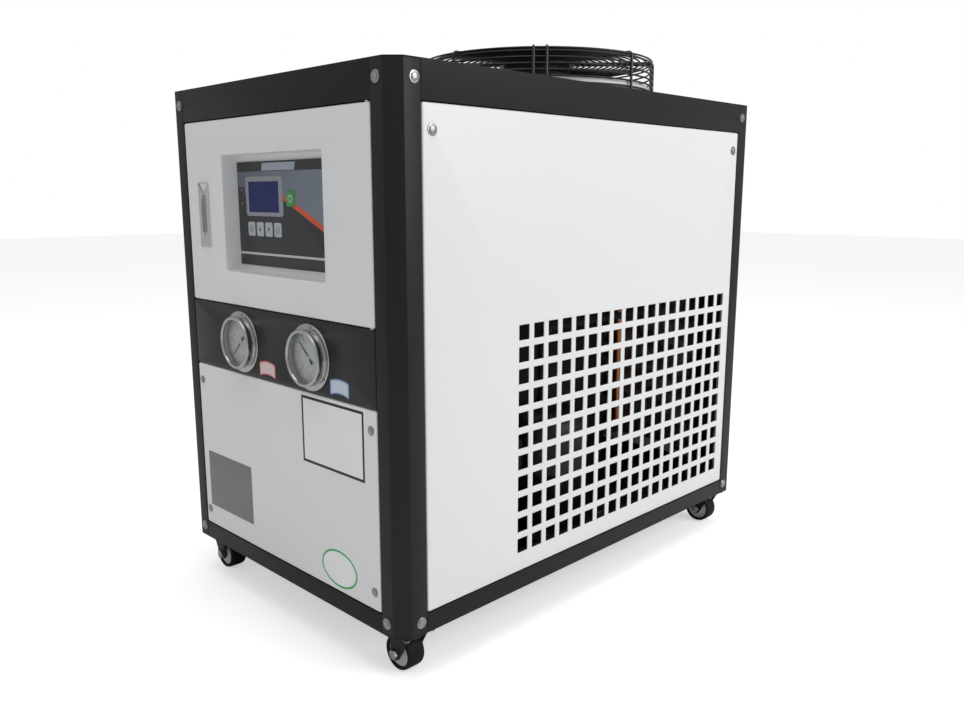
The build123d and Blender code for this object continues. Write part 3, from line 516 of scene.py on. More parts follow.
def makeGrilleTree():
    # A sheet of square holes, each with its rim pressed in
    tree, given, result = newGeometryTree(
        "squareHoles", [("Pitch", "Float"), ("Columns", "Int"), ("Rows", "Int"), ("Rim Share", "Float"),
                        ("Hole Share", "Float"), ("Rim Depth", "Float"), ("Material", "Material")])
    settings = []
    for axis, label in (("X", "Columns"), ("Y", "Rows")):
        count = given.outputs[label]
        settings += [("Size " + axis, mathNode(tree, "MULTIPLY", given.outputs["Pitch"], count)),
                     ("Vertices " + axis, mathNode(tree, "ADD", count, 1))]
    sheet = addNode(tree, "GeometryNodeMeshGrid", settings)
    rim = addNode(tree, "GeometryNodeExtrudeMesh",
                  [("Mesh", sheet.outputs[0]), ("Offset Scale", 0.0), ("Individual", True)], mode="FACES")
    rimScale = addNode(tree, "GeometryNodeScaleElements",
                       [("Geometry", rim.outputs["Mesh"]), ("Selection", rim.outputs["Top"]),
                        ("Scale", given.outputs["Rim Share"])], domain="FACE")
    edge = addNode(tree, "GeometryNodeExtrudeMesh",
                   [("Mesh", rimScale.outputs[0]), ("Selection", rim.outputs["Top"]),
                    ("Offset Scale", given.outputs["Rim Depth"]), ("Individual", True)], mode="FACES")
    edgeScale = addNode(tree, "GeometryNodeScaleElements",
                        [("Geometry", edge.outputs["Mesh"]), ("Selection", edge.outputs["Top"]),
                         ("Scale", given.outputs["Hole Share"])], domain="FACE")
    holes = addNode(tree, "GeometryNodeDeleteGeometry",
                    [("Geometry", edgeScale.outputs[0]), ("Selection", edge.outputs["Top"])], domain="FACE")
    endTree(tree, given, result, holes.outputs[0])
    return tree


scatterTree = makeScatterTree()
wireTree = makeWireTree()
ringTree = makeRingTree()
grilleTree = makeGrilleTree()


def placedParts(name, part, material, points, facings, sizes=None, smooth=35.0):
    sizes = sizes or [(1, 1, 1)] * len(points)
    values = {"facing": ("FLOAT_VECTOR", facings), "size": ("FLOAT_VECTOR", sizes)}
    return grow(name, scatterTree, {"Part": part, "Material": materials[material]}, points, attributes=values,
                smooth=smooth)


def wires(name, material, runs, radius, bend=0.0, sides=10, bendSteps=6):
    points, edges = [], []
    for run in runs:
        edges += [(len(points) + i, len(points) + i + 1) for i in range(len(run) - 1)]
        points += run
    return grow(name, wireTree, {"Wire Radius": radius * metres, "Bend Radius": bend * metres, "Sides": sides,
                                 "Bend Steps": bendSteps, "Material": materials[material]}, points, edges)


def joined(name, pieces):
    # One mesh from several plain ones, each keeping its material
    bm = bmesh.new()
    slots = []
    for piece in pieces:
        material = piece.data.materials[0]
        if material not in slots:
            slots.append(material)
        index = slots.index(material)
        start = len(bm.faces)
        bm.from_mesh(piece.data)
        bm.faces.ensure_lookup_table()
        for face in bm.faces[start:]:
            face.material_index = index
    mesh = bpy.data.meshes.new(name)
    bm.to_mesh(mesh)
    bm.free()
    for piece in pieces:
        bpy.data.objects.remove(piece)
    for material in slots:
        mesh.materials.append(material)
    piece = bpy.data.objects.new(name, mesh)
    scene.collection.objects.link(piece)
    return piece


# Cabinet

corners = dict(front_left=(-1, -1), front_right=(1, -1), rear_left=(-1, 1), rear_right=(1, 1))
panels = dict(corner=3.2, edge=2.4, depth=15.9, wall=1.4)
band = dict(below=345.8, low=347.3, high=444.0, corner=2.4, edge=1.4, holeEdge=0.6, holeDepth=1.0)
door = dict(low=445.5, high=703.0, depth=9.9, trayX=2.5, trayZ=573.6, trayWidth=242.0, trayHeight=161.0,
            trayDepth=25.0, trayCorner=4.0, trayEdge=2.2, trayWall=2.0,
            trayFoot=((-0.6, 0.6), (-2.0, 0.0), (-3.5, 0.0)),
            foldWidth=217.0, foldHeight=127.0, foldCorner=1.0, pullX=-171.5, pullZ=571.05, cupWidth=17.4,
            cupHeight=60.4, cupEdge=0.4, cupDepth=0.8)
gauges = dict(xs=(-84.75, 84.75), z=393.85, hole=38.0)
grille = dict(pitch=29.75, columns=18, rows=11, centreY=71.4, centreZ=272.9, hole=20.5, rim=1.0, rimDepth=0.5)
rear = dict(coilHalf=190.0, coilLow=156.0, coilHigh=661.0, coilCorner=2.0, coilEdge=1.4, coilDepth=2.0,
            portZ=124.0, ports=((-165.0, 15.2), (-85.0, 15.2), (-15.0, 10.7), (150.0, 10.2)),
            portEdge=0.4, portDepth=0.8)


def outerStack(low, high, corner, edge, depth, steps=4):
    # The loops of an outline with a rolled edge, from the face inwards
    width, height = high[0] - low[0], high[1] - low[1]
    centreU, centreV = (low[0] + high[0]) / 2, (low[1] + high[1]) / 2
    stack = []
    for step in range(steps + 1):
        turn = math.pi / 2 * step / steps
        inset = edge * (1 - math.sin(turn))
        stack.append((roundedLoop(centreU, centreV, width - 2 * inset, height - 2 * inset, corner - inset),
                      edge * (1 - math.cos(turn))))
    stack.append((roundedLoop(centreU, centreV, width, height, corner), depth))
    return stack


def holeStack(loopAt, edge, depth, steps=3):
    # The loop grows wider than the hole by the rolled edge at the face
    stack = []
    for step in range(steps + 1):
        turn = math.pi / 2 * step / steps
        stack.append((loopAt(edge * (1 - math.sin(turn))), edge * (1 - math.cos(turn))))
    if depth > edge:
        stack.append((loopAt(0.0), depth))
    return stack


def roundHole(u, v, radius, edge, depth):
    return holeStack(lambda grown: circleLoop(u, v, radius + grown), edge, depth)


def squareHole(u, v, width, height, corner, edge, depth, steps=5):
    return holeStack(lambda grown: roundedLoop(u, v, width + 2 * grown, height + 2 * grown, corner + grown,
                                               steps), edge, depth)


def turnOutward(bm, place):
    # Turns all the faces over if the largest one looks inwards
    bmesh.ops.recalc_face_normals(bm, faces=bm.faces)
    flat = max(bm.faces, key=lambda face: face.calc_area())
    flat.normal_update()
    if flat.normal.dot(place(0, 0, 0) - place(0, 0, 1)) < 0:
        bmesh.ops.reverse_faces(bm, faces=bm.faces)


def foldedPanel(name, place, half, rise, holes=(), material="panelWhite", **changes):
    # A sheet panel with rolled edges; each hole is a stack of loops going in from the face
    shape = dict(panels, **changes)
    bm = bmesh.new()
    stack = outerStack((-half, rise[0]), (half, rise[1]), shape["corner"], shape["edge"], shape["depth"])
    shell = stackLoops(bm, place, stack)
    rims = list(shell[0][1])
    for stack in holes:
        rims += stackLoops(bm, place, stack)[0][1]
    bmesh.ops.triangle_fill(bm, use_beauty=True, use_dissolve=False, edges=rims)
    bmesh.ops.remove_doubles(bm, verts=bm.verts, dist=meshing["merge"])
    turnOutward(bm, place)
    return toObject(bm, name, material)


def finishPanel(piece, node, body="cabinet", slotName="panel_white"):
    finishPiece(thickened(piece, panels["wall"]), body, slotName, node)


def buildPlainPanels():
    x, y = cabinet["panelX"], cabinet["panelY"]
    low, high = cabinet["panelLow"], cabinet["panelHigh"]
    finishPanel(foldedPanel("lowerFrontPanel", facingFront, x, (low, band["below"])), "lower_front_panel")
    holes = [roundHole(gaugeX, gauges["z"], gauges["hole"], band["holeEdge"], band["holeDepth"])
             for gaugeX in gauges["xs"]]
    finishPanel(foldedPanel("gaugeBand", facingFront, x, (band["low"], band["high"]), holes, "bandBlack",
                            corner=band["corner"], edge=band["edge"]), "gauge_panel", slotName="band_black")
    finishPanel(foldedPanel("leftSidePanel", facingLeft, y, (low, high)), "left_side_panel")
    middle, height = (rear["coilLow"] + rear["coilHigh"]) / 2, rear["coilHigh"] - rear["coilLow"]
    holes = [squareHole(0, middle, 2 * rear["coilHalf"], height, rear["coilCorner"], rear["coilEdge"],
                        rear["coilDepth"])]
    holes += [roundHole(-portX, rear["portZ"], radius, rear["portEdge"], rear["portDepth"])
              for portX, radius in rear["ports"]]
    finishPanel(foldedPanel("rearPanel", facingBack, x, (low, high), holes), "rear_panel")


def buildSidePanel():
    pitch, columns, rows = grille["pitch"], grille["columns"], grille["rows"]
    lowY, lowZ = grille["centreY"] - pitch * columns / 2, grille["centreZ"] - pitch * rows / 2
    along = [(lowY + pitch * i, lowZ) for i in range(columns)]
    along += [(lowY + pitch * columns, lowZ + pitch * i) for i in range(rows)]
    along += [(lowY + pitch * (columns - i), lowZ + pitch * rows) for i in range(columns)]
    along += [(lowY, lowZ + pitch * (rows - i)) for i in range(rows)]
    rise = (cabinet["panelLow"], cabinet["panelHigh"])
    plain = foldedPanel("sideSheet", facingRight, cabinet["panelY"], rise, [[(along, 0.0)]])
    rimShare = (grille["hole"] + 2 * grille["rim"]) / pitch
    holes = grow("squareHoles", grilleTree,
                 {"Pitch": pitch * metres, "Columns": columns, "Rows": rows, "Rim Share": rimShare,
                  "Hole Share": grille["hole"] / (pitch * rimShare),
                  "Rim Depth": -grille["rimDepth"] * metres, "Material": materials["panelWhite"]})
    turn = Matrix(((0, 0, 1, cabinet["halfWidth"] * metres), (1, 0, 0, grille["centreY"] * metres),
                   (0, 1, 0, grille["centreZ"] * metres), (0, 0, 0, 1)))
    holes.data.transform(turn)
    whole = joined("rightSidePanel", [plain, holes])
    bm = bmesh.new()
    bm.from_mesh(whole.data)
    bmesh.ops.remove_doubles(bm, verts=bm.verts, dist=meshing["sheetMerge"])
    bm.to_mesh(whole.data)
    bm.free()
    smoothed(whole.data, 35)
    finishPanel(whole, "right_side_panel")


def buildDoorSkin():
    depth = door["trayDepth"]

    def trayLoop(grown):
        return roundedLoop(door["trayX"], door["trayZ"], door["trayWidth"] + 2 * grown,
                           door["trayHeight"] + 2 * grown, door["trayCorner"] + grown)

    tray = holeStack(trayLoop, door["trayEdge"], depth - door["trayWall"])
    tray += [(trayLoop(wider), depth - above) for wider, above in door["trayFoot"]]
    fold = roundedLoop(door["trayX"], door["trayZ"], door["foldWidth"], door["foldHeight"],
                       door["foldCorner"])
    tray.append((fold, depth))
    cup = squareHole(door["pullX"], door["pullZ"], door["cupWidth"], door["cupHeight"], door["cupWidth"] / 2,
                     door["cupEdge"], door["cupDepth"])
    piece = foldedPanel("doorSkin", facingFront, cabinet["panelX"], (door["low"], door["high"]), [tray, cup],
                        depth=door["depth"])
    finishPanel(piece, "door_panel", "door")


buildPlainPanels()
buildSidePanel()
buildDoorSkin()
for node in ["base_pan", "top_cover"] + [f"corner_post_{corner}" for corner in corners]:
    dressNode(node, "frameBlack", slotName="frame_black", width=0.6)


# Screws

screws = dict(postX=231.3, postY=368.0, postLevels=(77.0, 728.5), sideY=342.0, sideHigh=673.0, leftLow=157.0,
              frontX=209.0, frontLevels=(111.4, 320.2), rearX=206.0, rearLevels=(120.0, 673.0),
              smallSize=0.84,
              flange=[(0, 0), (7.3, 0), (7.4, 0.35), (6.9, 0.8), (5.2, 1.0), (0, 1.0)],
              head=[(0, 0.8), (5.5, 0.8), (5.5, 1.7), (5.0, 2.15), (4.0, 2.45), (2.0, 2.56), (0, 2.56)])


def placeScrews():
    bm = bmesh.new()
    lathe(bm, "Z", (0, 0, 0), screws["flange"], 32)
    lathe(bm, "Z", (0, 0, 0), screws["head"], 6)
    shape = toObject(bm, "screwShape", "zincBright", 30)
    points, facings, sizes = [], [], []

    def add(point, facing, size=1.0):
        points.append(point)
        facings.append(facing)
        sizes.append((size,) * 3)

    x, y = cabinet["halfWidth"], cabinet["halfDepth"]
    small = screws["smallSize"]
    for side in (-1, 1):
        for other in (-1, 1):
            for z in screws["postLevels"]:
                add((other * screws["postX"], side * y, z), (0, side, 0))
                add((side * x, other * screws["postY"], z), (side, 0, 0))
            add((side * x, other * screws["sideY"], screws["sideHigh"]), (side, 0, 0))
        add((-x, side * screws["sideY"], screws["leftLow"]), (-1, 0, 0))
        for z in screws["frontLevels"]:
            add((side * screws["frontX"], -y, z), (0, -1, 0), small)
        for z in screws["rearLevels"]:
            add((side * screws["rearX"], y, z), (0, 1, 0), small)
    piece = placedParts("cabinetScrews", shape, "zincBright", points, facings, sizes, 30)
    bpy.data.objects.remove(shape)
    finishPiece(piece, "cabinet", "zinc", "cabinet_screws")


# Pieces made by turning, and small shared shapes

def boxObject(name, low, high, material, width=0.0, segments=2):
    bm = bmesh.new()
    boxInto(bm, low, high)
    piece = toObject(bm, name, material)
    return rounded(piece, width, segments) if width else piece


def latheObject(name, axis, centre, profile, material, steps=64, closed=False):
    bm = bmesh.new()
    lathe(bm, axis, centre, profile, steps, closed)
    return toObject(bm, name, material)


def ringSpots(axis, centre, radius, degrees):
    # Places on a circle about a centre, seen along Y or Z
    spots = []
    for turn in map(math.radians, degrees):
        across, up = radius * math.cos(turn), radius * math.sin(turn)
        spots.append((centre[0] + across, centre[1], centre[2] + up) if axis == "Y"
                     else (centre[0] + across, centre[1] + up, centre[2]))
    return spots


def finishJoined(name, pieces, slotName, *nodes, body="cabinet"):
    return finishPiece(joined(name, pieces), body, slotName, *nodes)


# Gauges

gauge = dict(
    face=-1.4, start=225.0, sweep=270.0, numberRadius=24.6, numberSize=4.6,
    case=[(0, 0.0), (34.2, 0.0), (34.2, -10.6), (33.0, -11.2), (32.7, -12.4), (33.2, -13.4), (34.4, -13.95),
          (36.0, -13.95), (37.0, -13.4), (37.45, -12.3), (37.45, -10.2), (36.7, -9.8), (36.7, -3.4),
          (37.4, -2.5), (40.0, -2.1), (43.0, -1.95), (43.8, -1.5), (44.0, -0.8), (43.8, 0.0), (37.4, 0.0),
          (37.4, 18.8), (36.6, 20.0), (7.0, 20.0), (7.0, 41.4), (6.4, 42.0), (0, 42.0)],
    screwRadius=40.6, screwTurns=(82, 202, 322),
    screw=[(0, -3.3), (1.2, -3.25), (1.9, -2.9), (2.1, -2.3), (2.1, -1.8), (0, -1.8)],
    plate=[(0, 1.2), (33.9, 1.2), (33.9, 0), (0, 0)],
    outer=dict(radius=31.2, long=4.2, short=2.2, count=51, arcGap=0.5, arcWidth=0.3, colour="printBlack"),
    inner=dict(radius=20.2, long=1.8, short=1.0, count=36, arcGap=0.4, arcWidth=0.25, colour="printRed"),
    majorEvery=5, majorWidth=0.35, minorWidth=0.18, printHeight=0.06, arcHeight=0.05, numberLift=0.02,
    needle=[(26.6, 0.12), (24.0, 0.35), (0, 1.15), (-6.0, 1.2), (-8.0, 2.2), (-10.8, 2.2)],
    needleDepth=(-2.4, -1.9), hub=[(0, -3.2), (1.6, -3.1), (2.9, -2.6), (3.1, -1.9), (3.1, -1.5), (0, -1.5)],
    lens=[(0, -12.6), (12.0, -12.55), (24.0, -12.35), (32.0, -12.0), (33.9, -11.85), (33.9, -10.9),
          (32.0, -10.9), (0, -11.4)])
gaugeSides = dict(left=dict(angle=225.0, numbers=("0", "5", "10", "15", "20", "25")),
                  right=dict(angle=136.0, numbers=("0", "2", "4", "6", "8", "10")))


def textShape(words, size, spot, material):
    curve = bpy.data.curves.new("words", "FONT")
    curve.body = words
    curve.size = size * metres
    curve.extrude = gauge["printHeight"] / 2 * metres
    curve.align_x = "CENTER"
    curve.align_y = "CENTER"
    curve.resolution_u = 3
    holder = bpy.data.objects.new("words", curve)
    scene.collection.objects.link(holder)
    bpy.context.view_layer.update()
    mesh = bpy.data.meshes.new_from_object(holder.evaluated_get(bpy.context.evaluated_depsgraph_get()))
    bpy.data.objects.remove(holder)
    mesh.transform(Matrix.Translation(Vector(spot) * metres) @ Matrix.Rotation(math.pi / 2, 4, "X"))
    return meshObject(mesh, "words", material, 30)


def dialMarks(middle, scale):
    bm = bmesh.new()
    for number in range(scale["count"]):
        turn = math.radians(gauge["start"] - gauge["sweep"] * number / (scale["count"] - 1))
        major = number % gauge["majorEvery"] == 0
        inner = scale["radius"] - (scale["long"] if major else scale["short"])
        width = gauge["majorWidth"] if major else gauge["minorWidth"]
        out = Vector((math.cos(turn), 0, math.sin(turn)))
        side = Vector((-out.z, 0, out.x)) * width
        ends = [middle + out * inner - side, middle + out * scale["radius"] - side,
                middle + out * scale["radius"] + side, middle + out * inner + side]
        prism(bm, [(p.x, p.z) for p in ends], lambda u, v, depth: Vector((u, depth, v)), middle.y,
              middle.y - gauge["printHeight"])
    return toObject(bm, "marks", scale["colour"])


def buildGauge(hand, x):
    z, front = gauges["z"], -cabinet["halfDepth"]
    centre = (x, front, z)
    pieces = [latheObject("gaugeCase", "Y", centre, gauge["case"], "chromeRing", 96)]
    pieces += [latheObject("flangeScrew", "Y", spot, gauge["screw"], "zincBright", 16)
               for spot in ringSpots("Y", centre, gauge["screwRadius"], gauge["screwTurns"])]
    finishJoined(f"gaugeCase_{hand}", pieces, "chrome", f"gauge_case_{hand}")

    y = front + gauge["face"]
    scales = (gauge["outer"], gauge["inner"])
    prints = [latheObject("dialPlate", "Y", (x, y, z), gauge["plate"], "dialWhite", 96)]
    prints += [dialMarks(Vector((x, y, z)), scale) for scale in scales]
    for scale in scales:
        reach, high = scale["radius"] + scale["arcGap"], -gauge["arcHeight"]
        low = reach - scale["arcWidth"]
        prints.append(latheObject("arc", "Y", (x, y, z), [(low, 0), (reach, 0), (reach, high), (low, high)],
                                  scale["colour"], 96, closed=True))
    numbers = gaugeSides[hand]["numbers"]
    for number, words in enumerate(numbers):
        turn = math.radians(gauge["start"] - gauge["sweep"] * number / (len(numbers) - 1))
        across, up = gauge["numberRadius"] * math.cos(turn), gauge["numberRadius"] * math.sin(turn)
        spot = (x + across, y - gauge["numberLift"], z + up)
        prints.append(textShape(words, gauge["numberSize"], spot, "printBlack"))
    finishJoined(f"gaugeDial_{hand}", prints, "dial_white", f"gauge_dial_{hand}")

    turn = math.radians(gaugeSides[hand]["angle"])

    def needlePlace(u, v, depth):
        return Vector((x + u * math.cos(turn) - v * math.sin(turn), front + depth,
                       z + u * math.sin(turn) + v * math.cos(turn)))

    bm = bmesh.new()
    outline = gauge["needle"] + [(u, -v) for u, v in reversed(gauge["needle"])]
    prism(bm, outline, needlePlace, *gauge["needleDepth"])
    pieces = [toObject(bm, "pointer", "printBlack"),
              latheObject("needleHub", "Y", centre, gauge["hub"], "steelSatin", 32)]
    finishJoined(f"gaugeNeedle_{hand}", pieces, "needle_black", f"gauge_needle_{hand}", body=f"{hand}_needle")
    lens = latheObject(f"gaugeLens_{hand}", "Y", centre, gauge["lens"], "gaugeGlass", 64)
    finishPiece(lens, "cabinet", "lens_clear", f"gauge_lens_{hand}")


# Door fittings and controller

face = dict(low=(-113.9, 502.1), high=(118.9, 645.1), y=-378.0, back=-375.05, corner=1.6, edge=0.35,
            keyGap=0.6, displayGap=0.2)
keys = dict(key_1=(-79.8, 553.1, 17.8, 19.6), key_2=(-57.5, 553.1, 17.8, 19.6),
            key_3=(-35.2, 553.1, 17.8, 19.6), key_4=(-12.9, 553.1, 17.8, 19.6),
            power_key=(20.3, 595.1, 19.3, 20.9))
keyCap = dict(proud=0.8, back=-375.75, corner=2.6, edge=0.5)
signs = dict(lift=dict(key_2=3.4, key_3=-3.4), half=3.6, foot=0.7, relief=(-0.05, 0.1), wire=0.42, steps=28,
             radius=dict(key_1=4.0, key_4=4.0, power_key=4.6), gap=dict(key_1=0.0, key_4=1.0, power_key=0.5),
             bar=dict(key_1=((0, -1.8), (0, 1.8)), key_4=((-1.5, 1.2), (1.6, 3.8)),
                      power_key=((0, 1.0), (0, 5.4))))
display = dict(x=-46.0, z=597.1, width=76.0, height=41.5, corner=0.6, sunk=0.15, bezelLow=(-91.6, 570.9),
               bezelHigh=(2.7, 624.8), bezelProud=0.55, bezelBack=0.2, bezelCorner=5.0)
film = dict(dark=(0.018, 0.019, 0.022), zone=((0.105, 0.125, 0.165), (0.185, 0.225, 0.275)), zoneRise=4.3,
            zoneStart=0.49, zoneLeft=-95.0, zoneHighLeft=611.0, zoneHighMiddle=600.0,
            stripe=(0.62, 0.085, 0.03), slope=-0.4385, upper=602.4, lower=594.2, start=3.2,
            top=(0.014, 0.014, 0.016), topLow=631.5, tag=(0.34, 0.38, 0.44), tagLean=-0.25, tagMiddle=637.0,
            tagSpan=(-48.0, 32.0), tagRise=(632.4, 642.6), line=(0.55, 0.56, 0.58), lineRise=(517.3, 520.4))
lamps = dict(x=-102.3, levels=(588.1, 606.1),
             profile=[(0, -0.45), (0.8, -0.3), (1.25, 0.1), (1.25, 2.9), (0, 2.9)])
plugs = dict(xs=(-80.0, -34.0, 12.0, 58.0), width=34.0, depths=(-337.0, -330.0), levels=(520.0, 532.0))


def maskAbove(tree, place, slopeX, slopeZ, offset):
    # 1 where slopeX * x + slopeZ * z is above the offset, in millimetres
    first = mathNode(tree, "MULTIPLY", place.outputs["X"], slopeX / metres)
    second = mathNode(tree, "MULTIPLY", place.outputs["Z"], slopeZ / metres)
    return mathNode(tree, "GREATER_THAN", mathNode(tree, "ADD", first, second), offset)


def every(tree, *masks):
    result = masks[0]
    for mask in masks[1:]:
        result = mathNode(tree, "MULTIPLY", result, mask)
    return result


def without(tree, mask):
    return mathNode(tree, "SUBTRACT", 1.0, mask)


def maskBetween(tree, place, slopeX, slopeZ, low, high):
    return every(tree, maskAbove(tree, place, slopeX, slopeZ, low),
                 without(tree, maskAbove(tree, place, slopeX, slopeZ, high)))


def mixColor(tree, mask, first, second):
    node = tree.nodes.new("ShaderNodeMix")
    node.data_type = "RGBA"
    tree.links.new(mask, node.inputs[0])
    for socket, value in ((node.inputs[6], first), (node.inputs[7], second)):
        if isinstance(value, bpy.types.NodeSocket):
            tree.links.new(value, socket)
        else:
            socket.default_value = (*value, 1)
    return node.outputs[2]


def makeFacePrint():
    # The printed film: dark field, blue grey upper zone, slanting stripe, top band with a bare tag, pale line
    tree = coated("facePrint", film["dark"], 0.34, relief=0.04, cloud=0.06).node_tree
    finish = next(node for node in tree.nodes if node.type == "GROUP")
    place = tree.nodes.new("ShaderNodeSeparateXYZ")
    tree.links.new(tree.nodes.new("ShaderNodeTexCoord").outputs["Object"], place.inputs[0])
    overUpper = maskAbove(tree, place, -film["slope"], 1.0, film["upper"])
    overLower = maskAbove(tree, place, -film["slope"], 1.0, film["lower"])
    rightPart = maskAbove(tree, place, 1.0, 0.0, film["start"])
    leftBlock = without(tree, maskAbove(tree, place, 1.0, 0.0, film["zoneLeft"]))
    highLeft = maskAbove(tree, place, 0.0, 1.0, film["zoneHighLeft"])
    highMiddle = maskAbove(tree, place, 0.0, 1.0, film["zoneHighMiddle"])
    middle = every(tree, without(tree, leftBlock), without(tree, rightPart), highMiddle)
    zone = mathNode(tree, "ADD", every(tree, leftBlock, highLeft), middle)
    zone = mathNode(tree, "ADD", zone, every(tree, rightPart, overUpper), clamp=True)
    across = mathNode(tree, "MULTIPLY_ADD", place.outputs["X"], film["zoneRise"])
    across.node.inputs[2].default_value = film["zoneStart"]
    stripe = every(tree, rightPart, overLower, without(tree, overUpper))
    lean = film["tagLean"]
    ends = [x + lean * film["tagMiddle"] for x in film["tagSpan"]]
    tag = every(tree, maskBetween(tree, place, 1.0, lean, *ends),
                maskBetween(tree, place, 0.0, 1.0, *film["tagRise"]))
    colour = mixColor(tree, zone, film["dark"], mixColor(tree, across, *film["zone"]))
    top = maskAbove(tree, place, 0.0, 1.0, film["topLow"])
    line = maskBetween(tree, place, 0.0, 1.0, *film["lineRise"])
    for name, mask in (("stripe", stripe), ("top", top), ("tag", tag), ("line", line)):
        colour = mixColor(tree, mask, colour, film[name])
    tree.links.new(colour, finish.inputs["Color"])


def seenFromFront(u, v, depth):
    return Vector((u, depth, v))


def keyIcon(name, x, z, y):
    # Plain signs: a ring, arrows, a turned arrow and the on and off sign
    if name in signs["lift"]:
        lift, half = signs["lift"][name], signs["half"]
        foot = z - lift * signs["foot"]
        bm = bmesh.new()
        prism(bm, [(x - half, foot), (x + half, foot), (x, z + lift)], seenFromFront,
              *[y + relief for relief in signs["relief"]])
        return toObject(bm, "icon", "keyPrint")
    radius, gap, steps = signs["radius"][name], signs["gap"][name], signs["steps"]
    turns = [math.pi / 2 + gap + (2 * math.pi - 2 * gap) * step / steps for step in range(steps + 1)]
    runs = [[(x + radius * math.cos(turn), y, z + radius * math.sin(turn)) for turn in turns],
            [(x + u, y, z + v) for u, v in signs["bar"][name]]]
    return wires("icon", "labelWhite" if name == "power_key" else "keyPrint", runs, signs["wire"], sides=6)


def platePiece(name, low, high, front, back, corner, edge, material, holes=()):
    # A flat plate seen from the front, with a rounded rim and holes through it
    def place(u, v, depth):
        return Vector((u, front + depth, v))

    bm = bmesh.new()
    depth = back - front
    made = stackLoops(bm, place, outerStack(low, high, corner, edge, depth, 3))
    frontEdges, backEdges = list(made[0][1]), list(made[-1][1])
    for loop in holes:
        through = stackLoops(bm, place, [(loop, 0.0), (loop, depth)])
        frontEdges += through[0][1]
        backEdges += through[-1][1]
    for edges in (frontEdges, backEdges):
        bmesh.ops.triangle_fill(bm, use_beauty=True, edges=edges)
    bmesh.ops.recalc_face_normals(bm, faces=bm.faces)
    return toObject(bm, name, material)


def cornersOf(x, z, width, height):
    return (x - width / 2, z - height / 2), (x + width / 2, z + height / 2)


def buildController():
    makeFacePrint()
    y, back = face["y"], face["back"]
    size = (display["x"], display["z"], display["width"], display["height"])
    gap = face["displayGap"]
    window = roundedLoop(*size[:2], size[2] + gap, size[3] + gap, display["corner"])
    holes = [roundedLoop(x, z, width + face["keyGap"], height + face["keyGap"], keyCap["corner"])
             for x, z, width, height in keys.values()]
    plate = platePiece("facePlate", face["low"], face["high"], y, back, face["corner"], face["edge"],
                       "facePrint", holes + [window])
    bezel = platePiece("displayBezel", display["bezelLow"], display["bezelHigh"], y - display["bezelProud"],
                       y + display["bezelBack"], display["bezelCorner"], face["edge"], "bezelGrey", [window])
    finishJoined("controllerFace", [plate, bezel], "fascia_dark", "controller_fascia", body="door")
    pane = platePiece("displayWindow", *cornersOf(*size), y + display["sunk"], back, display["corner"],
                      display["sunk"], "displayBlue")
    finishPiece(pane, "door", "window_blue", "display_window")
    for name, size in keys.items():
        material, slotName = ("keyGreen", "key_green") if name == "power_key" else ("keyGrey", "key_grey")
        cap = platePiece("cap", *cornersOf(*size), y - keyCap["proud"], keyCap["back"], keyCap["corner"],
                         keyCap["edge"], material)
        pieces = [cap, keyIcon(name, *size[:2], y - keyCap["proud"])]
        finishJoined(name + "_cap", pieces, slotName, name, body=name + "_cap")
    pieces = [latheObject("lamp", "Y", (lamps["x"], y, z), lamps["profile"], "lampGlow", 20)
              for z in lamps["levels"]]
    finishJoined("indicatorLamps", pieces, "lamp_clear", "indicator_lamps", body="door")
    dressNode("controller_housing", "plasticBlack", "door", "plastic_black", 1.2, 3)
    pieces = [boxObject("socket", (x, plugs["depths"][0], plugs["levels"][0]),
                        (x + plugs["width"], plugs["depths"][1], plugs["levels"][1]), "moduleGreen", 0.5)
              for x in plugs["xs"]]
    finishJoined("controllerSockets", pieces, "plastic_black", body="door")


pull = dict(width=28.0, height=93.0, proud=2.0, corner=2.0, edge=0.8, wall=0.8, cupWidth=15.0, cupHeight=58.0,
            cupEdge=1.0, cupDepth=7.6, floor=((13.4, 56.4, 9.0), (9.0, 52.0, 9.5)))
pins = dict(x=212.0, y=-396.0, levels=(703.75, 444.75),
            profile=[(0, -5.5), (1.6, -5.5), (2.0, -5.0), (2.0, -0.7), (3.2, -0.7), (3.2, 0.7), (2.0, 0.7),
                     (2.0, 5.0), (1.6, 5.5), (0, 5.5)])


def buildPull():
    def place(u, v, depth):
        return facingFront(u, v, depth - pull["proud"])

    x, z = door["pullX"], door["pullZ"]
    bm = bmesh.new()
    low, high = cornersOf(x, z, pull["width"], pull["height"])
    shell = stackLoops(bm, place, outerStack(low, high, pull["corner"], pull["edge"], pull["proud"], 3))
    stack = squareHole(x, z, pull["cupWidth"], pull["cupHeight"], pull["cupWidth"] / 2, pull["cupEdge"],
                       pull["cupDepth"], 8)
    stack += [(roundedLoop(x, z, width, height, width / 2, 8), depth)
              for width, height, depth in pull["floor"]]
    cup = stackLoops(bm, place, stack)
    bmesh.ops.triangle_fill(bm, use_beauty=True, edges=shell[0][1] + cup[0][1])
    bm.faces.new(cup[-1][0])
    bmesh.ops.remove_doubles(bm, verts=bm.verts, dist=meshing["merge"])
    turnOutward(bm, place)
    plate = thickened(toObject(bm, "pullPlate", "steelSatin"), pull["wall"])
    finishPiece(plate, "door", "steel", "door_pull")


def buildPins():
    pieces = [latheObject("pin", "Z", (pins["x"], pins["y"], z), pins["profile"], "steelSatin", 24)
              for z in pins["levels"]]
    finishJoined("hingePins", pieces, "steel", "door_hinge_pins")
    dressNode("door_magnet", "plasticBlack", "cabinet", "magnet_black", 0.8)


# Labels, all left bare: each layer has its inset, front, back, corner, edge and material

